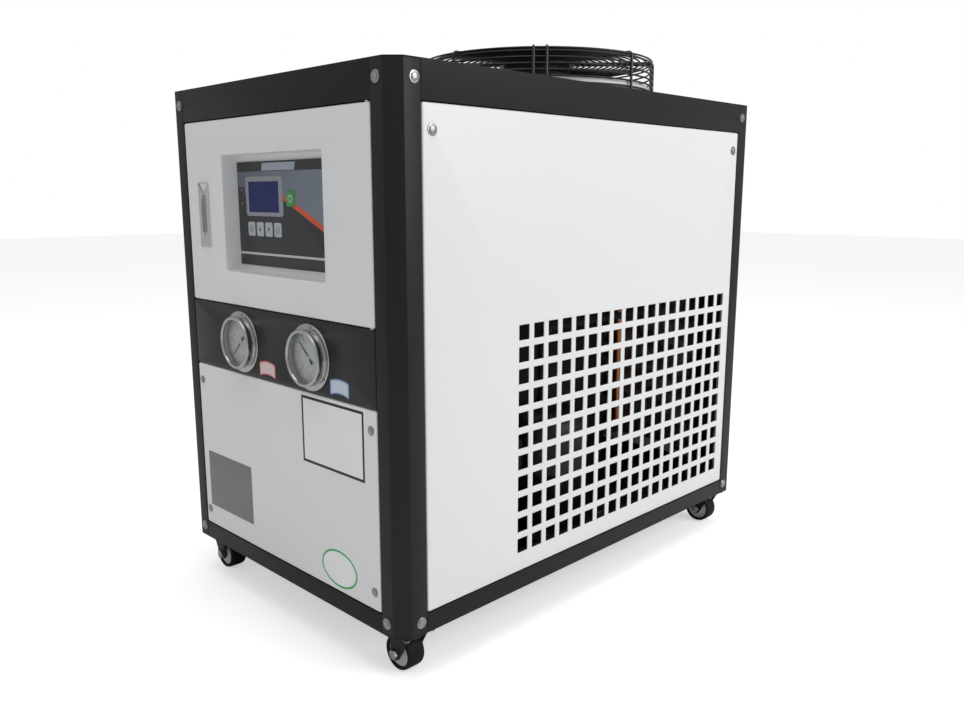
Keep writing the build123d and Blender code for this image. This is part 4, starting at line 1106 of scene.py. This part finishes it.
labels = dict(arch=3.2, archSteps=12, archDrop=2.4,
              tags=((((-39.7, 352.0), (-0.1, 373.5)), ("tagRed", "tagPink")),
                    (((127.6, 352.0), (166.6, 373.5)), ("tagBlue", "tagPale"))),
              tagLayers=((0.0, 0.20, -0.02), (1.8, 0.26, 0.15)), card=((60.0, 249.6), (195.5, 342.0)),
              cardLayers=((0.0, 0.16, -0.02, 1.0, 0.08, "labelWhite"),
                          (0.8, 0.2, 0.1, 0.8, 0.04, "printBlack"),
                          (4.6, 0.24, 0.15, 0.6, 0.04, "labelWhite")),
              plate=((-203.5, 120.0), (-78.0, 208.0)),
              plateLayers=((0.0, 0.35, -0.02, 1.5, 0.15, "platePale"),),
              ring=(134.8, 118.9, 39.6, 26.6), ringSteps=72,
              ringLayers=((0.0, 0.16, -0.02, "labelWhite"), (0.9, 0.2, 0.1, "labelGreen"),
                          (4.0, 0.24, 0.14, "labelWhite")))


def archOutline(low, high, inset):
    left, bottom, right, top = low[0] + inset, low[1] + inset, high[0] - inset, high[1] - inset
    points = []
    for base, shares in ((bottom, range(labels["archSteps"] + 1)),
                         (top - labels["archDrop"], range(labels["archSteps"], -1, -1))):
        for share in [step / labels["archSteps"] for step in shares]:
            points.append((left + (right - left) * share, base + labels["arch"] * 4 * share * (1 - share)))
    return points


def flatLabel(points, front, back, material):
    bm = bmesh.new()
    prism(bm, points, seenFromFront, front, back)
    return toObject(bm, "label", material)


def buildLabels():
    y = -cabinet["halfDepth"]
    pieces = []
    for (low, high), tones in labels["tags"]:
        for (inset, front, back), tone in zip(labels["tagLayers"], tones):
            pieces.append(flatLabel(archOutline(low, high, inset), y - front, y - back, tone))
    finishJoined("gaugeTags", pieces, "band_black")
    pieces = []
    for name in ("card", "plate"):
        low, high = labels[name]
        for inset, front, back, corner, edge, material in labels[name + "Layers"]:
            inner, outer = (low[0] + inset, low[1] + inset), (high[0] - inset, high[1] - inset)
            pieces.append(platePiece("label", inner, outer, y - front, y - back, corner, edge, material))
    x, z, width, height = labels["ring"]
    turns = [math.pi * 2 * step / labels["ringSteps"] for step in range(labels["ringSteps"])]
    for inset, front, back, material in labels["ringLayers"]:
        oval = [(x + (width - inset) * math.cos(t), z + (height - inset) * math.sin(t)) for t in turns]
        pieces.append(flatLabel(oval, y - front, y - back, material))
    finishJoined("frontLabels", pieces, "panel_white")


# Fan

fan = dict(
    centre=(0.0, 133.0), collarLevel=750.0,
    collar=[(187.0, -21.4), (187.0, 22.6), (186.4, 23.3), (187.2, 24.0), (189.4, 24.0), (190.0, 23.2),
            (190.0, 3.2), (190.8, 2.2), (192.0, 2.0), (199.2, 2.0), (200.0, 1.4), (200.0, 0.02),
            (190.0, 0.02), (190.0, -21.4), (189.0, -22.0), (188.0, -22.0)],
    collarScrews=8, collarScrewTurn=22.5, collarScrewRadius=195.4, collarScrewLevel=752.0,
    collarScrew=[(0, 2.0), (1.6, 1.9), (2.6, 1.3), (2.9, 0.4), (2.9, 0), (0, 0)])
guard = dict(
    radius=193.5, levels=(766.0, 775.0, 784.0, 793.0, 802.0, 811.0), lowest=754.6, topLevel=815.5,
    topInset=0.8, topPitch=10.0, innerRadius=62.0, wire=1.5, lowestInset=0.2, ringSteps=96, ribs=8,
    ribReach=195.0, ribInner=60.0, ribLow=753.6, ribTop=817.6, ribWire=2.2, ribBend=6.0, pairTurn=-2.3,
    pairSpread=10.0, plateLevel=814.0,
    plate=[(0, 0), (64.0, 0), (65.0, 0.8), (65.0, 2.2), (64.0, 3.0), (30.0, 3.0), (28.0, 2.2), (0, 2.2)],
    boltRadius=44.0, boltLevel=817.0, boltTurns=(45, 135, 225, 315),
    bolt=[(0, 2.6), (3.2, 2.6), (3.9, 2.0), (3.9, 0), (0, 0)])
motor = dict(
    statorLevel=803.0, stator=[(0, 0), (53.0, 0), (56.0, 2.0), (56.0, 10.95), (0, 10.95)],
    shaftLevel=747.6, shaft=[(0, 0), (5.4, 0), (6.0, 0.8), (6.0, 55.6), (0, 55.6)],
    shellLevel=743.5,
    shell=[(0, 0.2), (20.0, 0.2), (22.0, 1.4), (42.0, 1.4), (44.0, 0.0), (50.0, 0.0), (53.2, 1.4),
           (54.0, 4.0), (54.0, 57.0), (53.2, 58.0), (50.4, 58.0), (50.4, 5.0), (8.0, 5.0), (8.0, 4.2),
           (6.1, 4.2), (6.1, 3.4), (0, 3.4)])
blades = dict(count=5, startTurn=18.0, level=756.0, root=51.0, tip=181.5, across=14, along=16, rootChord=58.0,
              chordRise=44.0, chordPower=0.8, rootLean=31.0, leanFall=8.0, sweep=18.0, sweepPower=1.4,
              bow=6.2, halfThick=1.1, thinnest=0.02, smooth=50)


def buildCollar():
    x, y = fan["centre"]
    pieces = [latheObject("fanCollar", "Z", (x, y, fan["collarLevel"]), fan["collar"], "collarGrey", 128,
                          closed=True)]
    count = fan["collarScrews"]
    turns = [fan["collarScrewTurn"] + 360 / count * number for number in range(count)]
    pieces += [latheObject("collarScrew", "Z", spot, fan["collarScrew"], "zincBright", 20)
               for spot in ringSpots("Z", (x, y, fan["collarScrewLevel"]), fan["collarScrewRadius"], turns)]
    finishJoined("fanCollar", pieces, "collar_grey", "fan_collar")


def buildGuard():
    x, y = fan["centre"]
    spots = [((x, y, z), guard["radius"]) for z in guard["levels"]]
    radius = guard["radius"] - guard["topInset"]
    while radius > guard["innerRadius"]:
        spots.append(((x, y, guard["topLevel"]), radius))
        radius -= guard["topPitch"]
    spots.append(((x, y, guard["lowest"]), guard["radius"] - guard["lowestInset"]))
    rings = grow("guardRings", ringTree,
                 {"Wire Radius": guard["wire"] * metres, "Ring Steps": guard["ringSteps"], "Sides": 8,
                  "Material": materials["wireBlack"]}, [point for point, _ in spots],
                 attributes={"reach": ("FLOAT", [reach * metres for _, reach in spots])})
    profile = [(guard["ribReach"], guard["ribLow"]), (guard["ribReach"], guard["ribTop"]),
               (guard["ribInner"], guard["ribTop"])]
    runs = []
    for number in range(guard["ribs"]):
        single = number % 2 == 0
        turn = math.radians(360 / guard["ribs"] * number + (0.0 if single else guard["pairTurn"]))
        for shift in (0.0,) if single else (-guard["pairSpread"], guard["pairSpread"]):
            runs.append([(x + r * math.cos(turn) - shift * math.sin(turn),
                          y + r * math.sin(turn) + shift * math.cos(turn), z) for r, z in profile])
    ribs = wires("guardRibs", "wireBlack", runs, guard["ribWire"], guard["ribBend"], 10, 6)
    plate = latheObject("motorPlate", "Z", (x, y, guard["plateLevel"]), guard["plate"], "wireBlack", 72)
    bolts = [latheObject("plateScrew", "Z", spot, guard["bolt"], "zincBright", 6)
             for spot in ringSpots("Z", (x, y, guard["boltLevel"]), guard["boltRadius"], guard["boltTurns"])]
    finishJoined("fanGuard", [rings, ribs, plate] + bolts, "guard_black", "fan_guard")


def buildMotor():
    x, y = fan["centre"]
    pieces = [latheObject("stator", "Z", (x, y, motor["statorLevel"]), motor["stator"], "plasticBlack", 72),
              latheObject("shaft", "Z", (x, y, motor["shaftLevel"]), motor["shaft"], "steelSatin", 32)]
    finishJoined("fanMotor", pieces, "plastic_black", "fan_motor")


def bladeShape():
    # One curved blade: wider and swept forward towards the tip, with a rounded nose
    bm = bmesh.new()
    layers = []
    for step in range(blades["along"] + 1):
        share = step / blades["along"]
        radius = blades["root"] + (blades["tip"] - blades["root"]) * share
        chord = blades["rootChord"] + blades["chordRise"] * share ** blades["chordPower"]
        lean = math.radians(blades["rootLean"] - blades["leanFall"] * share)
        sweep = blades["sweep"] * share ** blades["sweepPower"]
        upper, lower = [], []
        for place in range(blades["across"] + 1):
            part = place / blades["across"] - 0.5
            bow = blades["bow"] * (1 - (2 * part) ** 2)
            thick = blades["halfThick"] * math.sqrt(max(blades["thinnest"], 1 - (2 * part) ** 4))
            for side, row in ((1, upper), (-1, lower)):
                run, rise = part * chord, bow + side * thick
                turn = (run * math.cos(lean) - rise * math.sin(lean) + sweep) / radius
                height = run * math.sin(lean) + rise * math.cos(lean)
                row.append(bm.verts.new((radius * math.cos(turn), radius * math.sin(turn), height)))
        layers.append(upper + lower[::-1])
    for first, second in zip(layers, layers[1:]):
        bridge(bm, first, second)
    bm.faces.new(layers[0])
    bm.faces.new(layers[-1])
    bmesh.ops.recalc_face_normals(bm, faces=bm.faces)
    return toObject(bm, "bladeShape", "wireBlack", blades["smooth"])


def makeBladeTree():
    tree, given, result = newGeometryTree(
        "fanBlades", [("Blade", "Object"), ("Count", "Int"), ("Start Turn", "Float"),
                      ("Material", "Material")])
    blade = addNode(tree, "GeometryNodeObjectInfo", [("Object", given.outputs["Blade"])])
    hub = addNode(tree, "GeometryNodeMeshLine",
                  [("Count", given.outputs["Count"]), ("Offset", (0.0, 0.0, 0.0))])
    index = addNode(tree, "GeometryNodeInputIndex")
    step = mathNode(tree, "DIVIDE", 2 * math.pi, given.outputs["Count"])
    turn = mathNode(tree, "MULTIPLY_ADD", index.outputs[0], step)
    tree.links.new(given.outputs["Start Turn"], turn.node.inputs[2])
    euler = addNode(tree, "ShaderNodeCombineXYZ", [("Z", turn)])
    rotation = addNode(tree, "FunctionNodeEulerToRotation", [(0, euler.outputs[0])])
    copies = addNode(tree, "GeometryNodeInstanceOnPoints",
                     [("Points", hub.outputs[0]), ("Instance", blade.outputs["Geometry"]),
                      ("Rotation", rotation.outputs[0])])
    endTree(tree, given, result, copies.outputs[0])
    return tree


def buildRotor():
    x, y = fan["centre"]
    blade = bladeShape()
    whole = grow("rotorBlades", makeBladeTree(),
                 {"Blade": blade, "Count": blades["count"], "Start Turn": math.radians(blades["startTurn"]),
                  "Material": materials["wireBlack"]}, [(0, 0, 0)], smooth=blades["smooth"])
    bpy.data.objects.remove(blade)
    whole.data.transform(Matrix.Translation(Vector((x, y, blades["level"])) * metres))
    shell = latheObject("rotorShell", "Z", (x, y, motor["shellLevel"]), motor["shell"], "plasticBlack", 96)
    finishJoined("fanRotor", [shell, whole], "guard_black", "fan_rotor", body="fan")


# Casters: half of the hub's and the tyre's outlines, which are mirrored about the wheel's middle

caster = dict(
    x=228.0, y=362.0, trail=8.0, wheelZ=24.0, wall=17.5, pastWall=0.2,
    hub=[(4.05, -12.4), (7.4, -12.4), (8.0, -11.8), (8.0, -9.4), (9.2, -8.6), (15.0, -8.0), (16.2, -9.6),
         (18.9, -9.9)],
    tyre=[(19.0, -12.2), (20.0, -13.4), (21.6, -13.4), (22.9, -12.6), (23.6, -11.0), (23.95, -7.0)],
    tread=[(24.0, 0.0)], plateHalf=28.0, plateLevels=(57.0, 60.0), boltOffset=21.0,
    race=[(0, 57.0), (18.0, 57.0), (19.4, 56.2), (19.9, 54.6), (19.0, 53.2), (17.6, 52.35), (4.0, 52.35),
          (4.0, 49.6), (0, 49.6)],
    bolt=[(0, 53.2), (3.6, 53.2), (4.2, 53.8), (4.2, 57.0), (0, 57.0)])


def mirrored(half, middle=()):
    return half + list(middle) + [(radius, -along) for radius, along in reversed(half)]


def buildCaster(corner, sideX, sideY):
    y = sideY * caster["y"]
    centre = (sideX * (caster["x"] - caster["trail"]), y, caster["wheelZ"])
    fork = dressNode(f"caster_fork_{corner}", "casterBlack", f"swivel_{corner}", "caster_black", 0.7, 3)
    # The axle's heads are the faces outside the fork's walls
    fork.data.materials.append(materials["zincBright"])
    for polygon in fork.data.polygons:
        if abs(polygon.center.y - y * metres) > (caster["wall"] + caster["pastWall"]) * metres:
            polygon.material_index = 1
    hub = latheObject(f"wheelHub_{corner}", "Y", centre, mirrored(caster["hub"]), "hubGrey", 48, closed=True)
    finishPiece(hub, f"wheel_{corner}", "hub_grey", f"wheel_hub_{corner}")
    tyre = latheObject(f"tyre_{corner}_round", "Y", centre, mirrored(caster["tyre"], caster["tread"]),
                       "tyreBlack", 64, closed=True)
    finishPiece(tyre, f"wheel_{corner}", "tyre_black", f"tyre_{corner}")


def buildCasterPlates():
    pieces = []
    half, offset, (low, high) = caster["plateHalf"], caster["boltOffset"], caster["plateLevels"]
    for sideX in (-1, 1):
        for sideY in (-1, 1):
            x, y = sideX * caster["x"], sideY * caster["y"]
            pieces.append(boxObject("plate", (x - half, y - half, low), (x + half, y + half, high),
                                    "casterBlack", 1.0, 3))
            pieces.append(latheObject("race", "Z", (x, y, 0.0), caster["race"], "zincBright", 40))
            bolts = [(x + offX, y + offY, 0.0) for offX in (-offset, offset) for offY in (-offset, offset)]
            pieces += [latheObject("plateBolt", "Z", spot, caster["bolt"], "zincBright", 6) for spot in bolts]
    finishJoined("casterPlates", pieces, "zinc", "caster_plates")


# Cooling parts inside

coil = dict(left=-205.0, right=208.0, front=345.0, back=378.0, low=137.0, high=682.0, finPitch=3.2,
            finThickness=0.45, finDepths=(0.5, 32.5), plate=2.0, plateFront=342.0, plateLow=62.0,
            tubes=(353.0, 370.0), tube=4.0, tubeBend=6.5, bendRows=10, bendHalf=12.5, bendReach=7.0)
copper = dict(x=42.0, y=333.0, low=155.0, high=580.0, radius=8.0,
              cap=((0, -6.0), (8.4, -6.0), (8.4, 0.0), (5.0, 2.0), (0, 2.4)),
              firstStub=197.5, stubPitch=85.0, stubs=5, stubEnd=344.8, stub=4.5, pipe=6.0, pipeBend=28.0,
              pipeStart=279.0, pipeLevel=390.0)
compressor = dict(
    x=122.0, y=14.0, plateHalf=88.0, plateLevels=(74.0, 78.0), footOffset=69.0,
    shell=[(0, 78.2), (62.0, 78.2), (72.0, 84.0), (75.6, 96.0), (75.6, 168.0), (76.0, 168.6), (76.0, 173.4),
           (75.6, 174.0), (75.6, 226.0), (72.0, 242.0), (62.0, 255.0), (46.0, 262.0), (20.0, 264.0),
           (8.2, 264.4), (8.2, 277.6), (7.6, 278.0), (0, 278.0)],
    foot=[(0, 62.0), (12.6, 62.0), (13.0, 63.0), (10.4, 66.0), (10.4, 70.0), (12.8, 73.0), (12.8, 74.0),
          (0, 74.0)],
    nut=[(0, 78.0), (7.0, 78.0), (7.0, 82.4), (6.2, 83.0), (0, 83.0)],
    box=((-24.0, -96.0, 170.0), (24.0, -66.0, 226.0)))


def buildCoil():
    left, right = coil["left"], coil["right"]
    middle, half = (coil["high"] + coil["low"]) / 2, (coil["high"] - coil["low"]) / 2
    thick = coil["finThickness"] / 2
    fin = boxObject("coilFin", (-thick, coil["finDepths"][0], -half), (thick, coil["finDepths"][1], half),
                    "finAluminium")
    count = int((right - left - 3 * coil["plate"]) / coil["finPitch"])
    start = (left + right - coil["finPitch"] * (count - 1)) / 2
    points = [(start + coil["finPitch"] * number, coil["front"], middle) for number in range(count)]
    pieces = [placedParts("coilFins", fin, "finAluminium", points, [(0, 0, 1)] * count)]
    bpy.data.objects.remove(fin)
    for low, high in ((left, left + coil["plate"]), (right - coil["plate"], right)):
        pieces.append(boxObject("endPlate", (low, coil["plateFront"], coil["plateLow"]),
                                (high, coil["back"], coil["high"]), "zincBright", 0.5))
    step = (coil["high"] - coil["low"]) / coil["bendRows"]
    runs = []
    for row in range(coil["bendRows"]):
        z = coil["low"] + step * (row + 0.5)
        low, high, out = z - coil["bendHalf"], z + coil["bendHalf"], left - coil["bendReach"]
        for y in coil["tubes"]:
            runs += [[(left, y, low), (out, y, low), (out, y, high), (left, y, high)],
                     [(left, y, low), (right, y, low)], [(left, y, high), (right, y, high)]]
    pieces.append(wires("coilTubes", "copperTube", runs, coil["tube"], coil["tubeBend"], 8, 5))
    finishJoined("condenserCoil", pieces, "coil_fins", "condenser_coil")


def buildCopper():
    x, y, low, high = copper["x"], copper["y"], copper["low"], copper["high"]
    pieces = [wires("header", "copperTube", [[(x, y, low), (x, y, high)]], copper["radius"], sides=20)]
    levels = [copper["firstStub"] + copper["stubPitch"] * number for number in range(copper["stubs"])]
    pieces.append(wires("stubs", "copperTube", [[(x, y, z), (x, copper["stubEnd"], z)] for z in levels],
                        copper["stub"], sides=14))
    fromX, fromY, level = compressor["x"], compressor["y"], copper["pipeLevel"]
    run = [(fromX, fromY, copper["pipeStart"]), (fromX, fromY, level), (fromX, y, level), (x, y, level)]
    pieces.append(wires("discharge", "rubberBlack", [run], copper["pipe"], copper["pipeBend"], 16, 8))
    for z, end in ((low, -1), (high, 1)):
        profile = [(radius, along * end) for radius, along in copper["cap"]]
        pieces.append(latheObject("cap", "Z", (x, y, z), profile, "copperTube", 24))
    finishJoined("copperLine", pieces, "copper", "copper_line")


def buildCompressor():
    x, y, half = compressor["x"], compressor["y"], compressor["plateHalf"]
    low, high = compressor["plateLevels"]
    pieces = [latheObject("shell", "Z", (x, y, 0.0), compressor["shell"], "compressorBlack", 72),
              boxObject("plate", (x - half, y - half, low), (x + half, y + half, high), "compressorBlack",
                        1.2, 3)]
    offset = compressor["footOffset"]
    for offX in (-offset, offset):
        for offY in (-offset, offset):
            spot = (x + offX, y + offY, 0.0)
            pieces.append(latheObject("foot", "Z", spot, compressor["foot"], "rubberBlack", 28))
            pieces.append(latheObject("footNut", "Z", spot, compressor["nut"], "zincBright", 6))
    low, high = [(x + u, y + v, z) for u, v, z in compressor["box"]]
    pieces.append(boxObject("terminalBox", low, high, "plasticBlack", 2.5, 3))
    finishJoined("compressorBody", pieces, "compressor_black", "compressor")


# Water side

tank = dict(low=(-228.0, -80.0, 62.0), high=(20.0, 322.0, 467.0), tapes=(120.0, 400.0), tapeWidth=38.0,
            tapeProud=0.3, lidLevels=(467.1, 473.0), lidOver=4.0, capPlace=(-104.0, -16.0, 0.0),
            cap=[(0, 473.0), (31.8, 473.0), (32.0, 474.0), (31.6, 486.0), (30.4, 488.2), (27.0, 489.0),
                 (24.0, 488.0), (0, 488.0)])
pump = dict(
    centre=(-120.0, -215.0, 124.0), ribs=11, firstRib=96.0, ribPitch=8.0,
    motorEnd=[(0, 118.0), (34.0, 118.0), (39.0, 116.0), (40.5, 112.0), (40.5, 98.0)],
    rib=((41.8, 0.0), (41.8, -2.6), (38.6, -3.0), (38.6, -7.6)),
    volute=[(41.8, 6.0), (41.8, 0.0), (49.0, 0.0), (50.0, -1.5), (50.0, -29.0), (46.0, -33.0), (22.0, -34.0),
            (0, -34.0)],
    boxes=(("foot", (-120.0, -38.0, 62.0), (-30.0, 38.0, 70.0), "pumpBlue", 1.5, 3),
           ("web", (-116.0, -4.0, 66.0), (-34.0, 4.0, 124.0), "pumpBlue", 0.8, 2)),
    outletX=-137.0, outlet=[(0, 124.0), (13.0, 124.0), (13.0, 196.0), (12.4, 197.0), (12.4, 209.4),
                            (11.8, 210.0), (9.0, 210.0), (9.0, 190.0), (0, 190.0)],
    box=("box", (-96.0, -22.0, 160.0), (-44.0, 22.0, 184.0), "plasticBlack", 2.0, 3))
ports = dict(water=((-165.0, 12.1, 15.0, 21.0), (-85.0, 12.1, 15.0, 21.0), (-15.0, 7.5, 10.5, 14.0)),
             gland=(150.0, 6.0, 10.0, 14.0), y=400.0, reach=14.0, nut=9.0, barrel=-6.0, glandBack=-15.5,
             tailRadius=9.0, tail=(-78.0, -17.0), neck=((0.0, 0.2), (-0.7, 0.6), (-0.7, 9.2), (0.0, 9.4)),
             lip=0.9, seat=-0.6, nutEdge=(1.2, 1.0))
electrics = dict(railFrom=-0.2605, fromEnd=30.0, wires=5, wire=1.4, bend=9.0,
                 colours=("wireRed", "wireBlue", "moduleGreen"),
                 run=((0.0, 14.0, 20.0), (0.0, 4.0, 60.0), (12.0, 20.0, 96.0), (60.0, 20.0, 96.0)))


def widened(low, high, amount, levels):
    return ((low[0] - amount, low[1] - amount, levels[0]), (high[0] + amount, high[1] + amount, levels[1]))


def buildTank():
    low, high = tank["low"], tank["high"]
    pieces = [boxObject("jacket", low, high, "foamBlack", 5.0, 4)]
    pieces += [boxObject("tape", *widened(low, high, tank["tapeProud"], (z, z + tank["tapeWidth"])),
                         "plasticBlack", 0.2) for z in tank["tapes"]]
    finishJoined("waterTank", pieces, "foam_black", "water_tank")
    lid = boxObject("lid", *widened(low, high, tank["lidOver"], tank["lidLevels"]), "plasticBlack", 1.5, 3)
    cap = latheObject("cap", "Z", tank["capPlace"], tank["cap"], "plasticBlack", 64)
    finishJoined("tankLid", [lid, cap], "plastic_black", "tank_lid")


def buildPump():
    y = pump["centre"][1]
    outline = list(pump["motorEnd"])
    for number in range(pump["ribs"]):
        place = pump["firstRib"] - number * pump["ribPitch"]
        outline += [(radius, place + along) for radius, along in pump["rib"]]

    def pumpBox(name, low, high, *looks):
        return boxObject(name, (low[0], y + low[1], low[2]), (high[0], y + high[1], high[2]), *looks)

    pieces = [latheObject("motor", "X", pump["centre"], outline + pump["volute"], "pumpBlue", 64)]
    pieces += [pumpBox(*box) for box in pump["boxes"]]
    pieces.append(latheObject("outlet", "Z", (pump["outletX"], y, 0.0), pump["outlet"], "brassBody", 40))
    pieces.append(pumpBox(*pump["box"]))
    finishJoined("circulationPump", pieces, "pump_iron", "circulation_pump")


def threadedPort(x, bore, body, hexagon, tail, material):
    # The neck outside the panel with its nut, and inside either a hose tail or an open end
    centre, reach = (x, ports["y"], rear["portZ"]), ports["reach"]
    outer = [(body + inward, along) for inward, along in ports["neck"]]
    outer += [(body, reach - ports["lip"]), (body - ports["lip"], reach), (bore, reach)]
    if tail:
        radius, (end, start) = ports["tailRadius"], ports["tail"]
        profile = [(0, end), (radius, end), (radius, start), (body, start)] + outer
        profile += [(bore, ports["barrel"]), (0, ports["barrel"])]
    else:
        profile = [(body, ports["glandBack"])] + outer + [(bore, ports["glandBack"])]
    high, inner, (inset, edge) = ports["nut"], body + ports["seat"], ports["nutEdge"]
    nut = [(inner, 0.0), (hexagon - inset, 0.0), (hexagon, edge), (hexagon, high - edge),
           (hexagon - inset, high), (inner, high)]
    return [latheObject("barrel", "Y", centre, profile, material, 48, closed=not tail),
            latheObject("nut", "Y", centre, nut, material, 6, closed=True)]


def buildFittings():
    pieces = [piece for port in ports["water"] for piece in threadedPort(*port, True, "brassBody")]
    finishJoined("waterPorts", pieces, "brass", "water_ports")
    finishJoined("cableGland", threadedPort(*ports["gland"], False, "plasticBlack"), "plastic_black",
                 "cable_gland")


def buildElectrics():
    dressNode("electrics_tray", "zincBright", slotName="zinc", width=0.4)
    modules = dressNode("electrics_modules", "moduleGrey", slotName="module_grey", width=1.2, segments=3)
    modules.data.materials.append(materials["steelSatin"])
    for polygon in modules.data.polygons:
        if polygon.center.y > electrics["railFrom"]:
            polygon.material_index = 1
    low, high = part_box("electrics_modules")
    left, right, front = low.x / metres, high.x / metres, low.y / metres
    middle = (low.z + high.z) / 2 / metres
    count, colours = electrics["wires"], electrics["colours"]
    for number, colour in enumerate(colours):
        runs = []
        for step in range(count):
            share = (step * len(colours) + number) / (count * len(colours))
            x = left + electrics["fromEnd"] + (right - left - 2 * electrics["fromEnd"]) * share
            runs.append([(x + u, front + v, middle + w) for u, v, w in electrics["run"]])
        loom = wires(f"loom_{number}", colour, runs, electrics["wire"], electrics["bend"], 8, 5)
        finishPiece(loom, "cabinet", "module_grey")


placeScrews()
for hand, x in zip(("left", "right"), gauges["xs"]):
    buildGauge(hand, x)
buildController()
buildPull()
buildPins()
buildLabels()
buildCollar()
buildGuard()
buildMotor()
buildRotor()
for corner, sides in corners.items():
    buildCaster(corner, *sides)
buildCasterPlates()
buildCoil()
buildCopper()
buildCompressor()
buildTank()
buildPump()
buildFittings()
buildElectrics()


# Camera, light and floor

view = dict(place=(1.0057, -1.0138, 0.6003), pitch=math.pi / 2 - 0.1842, turn=0.7811, lens=31.955,
            sensor=36.0)
stage = dict(floor=0.88, floorGloss=0.8, floorLift=0.5, floorSize=12000.0, world=0.48)
softLights = dict(keyRight=((2.5, 1.0, 1.6), (0.2, 0.1, 0.4), (1.6, 1.6), 32.0),
                  fillFront=((-1.2, -3.2, 1.6), (0.0, 0.0, 0.35), (1.8, 1.6), 4.0),
                  topSoft=((0.2, -0.2, 3.0), (0.0, 0.0, 0.3), (2.2, 2.2), 30.0))


def makeCamera():
    data = bpy.data.cameras.new("camera")
    data.lens = view["lens"]
    data.sensor_width = view["sensor"]
    camera = bpy.data.objects.new("camera", data)
    camera.location = view["place"]
    camera.rotation_euler = (view["pitch"], 0.0, view["turn"])
    scene.collection.objects.link(camera)
    scene.camera = camera


def softLight(name, place, target, size, power):
    data = bpy.data.lights.new(name, "AREA")
    data.shape = "RECTANGLE"
    data.size, data.size_y = size
    data.energy = power
    lamp = bpy.data.objects.new(name, data)
    lamp.location = place
    lamp.rotation_euler = (Vector(target) - Vector(place)).to_track_quat("-Z", "Y").to_euler()
    scene.collection.objects.link(lamp)


def makeFloor():
    # A pale floor that the camera sees a little lighter than the light makes it
    material = bpy.data.materials.new("floorPale")
    material.use_nodes = True
    tree = material.node_tree
    shader = tree.nodes["Principled BSDF"]
    for label, value in (("Base Color", (stage["floor"],) * 3 + (1,)), ("Roughness", stage["floorGloss"]),
                         ("Specular IOR Level", 0.0), ("Emission Color", (1, 1, 1, 1))):
        shader.inputs[label].default_value = value
    seen = tree.nodes.new("ShaderNodeLightPath").outputs["Is Camera Ray"]
    tree.links.new(mathNode(tree, "MULTIPLY", seen, stage["floorLift"]), shader.inputs["Emission Strength"])
    bm = bmesh.new()
    bmesh.ops.create_grid(bm, x_segments=1, y_segments=1, size=stage["floorSize"] * metres)
    mesh = bpy.data.meshes.new("floor")
    bm.to_mesh(mesh)
    bm.free()
    mesh.materials.append(material)
    floor = bpy.data.objects.new("floor", mesh)
    scene.collection.objects.link(floor)


def makeWorld():
    # White to the camera, dimmer as a light
    world = bpy.data.worlds.new("studio")
    scene.world = world
    world.use_nodes = True
    tree = world.node_tree
    seen = tree.nodes.new("ShaderNodeBackground")
    path = tree.nodes.new("ShaderNodeLightPath")
    mix = tree.nodes.new("ShaderNodeMixShader")
    tree.links.new(path.outputs["Is Camera Ray"], mix.inputs[0])
    for number, (back, strength) in enumerate(((tree.nodes["Background"], stage["world"]), (seen, 1.0))):
        back.inputs["Color"].default_value = (1, 1, 1, 1)
        back.inputs["Strength"].default_value = strength
        tree.links.new(back.outputs[0], mix.inputs[1 + number])
    tree.links.new(mix.outputs[0], tree.nodes["World Output"].inputs["Surface"])


makeCamera()
makeFloor()
makeWorld()
for name, settings in softLights.items():
    softLight(name, *settings)
scene.view_settings.view_transform = "Standard"
print("stage ready")
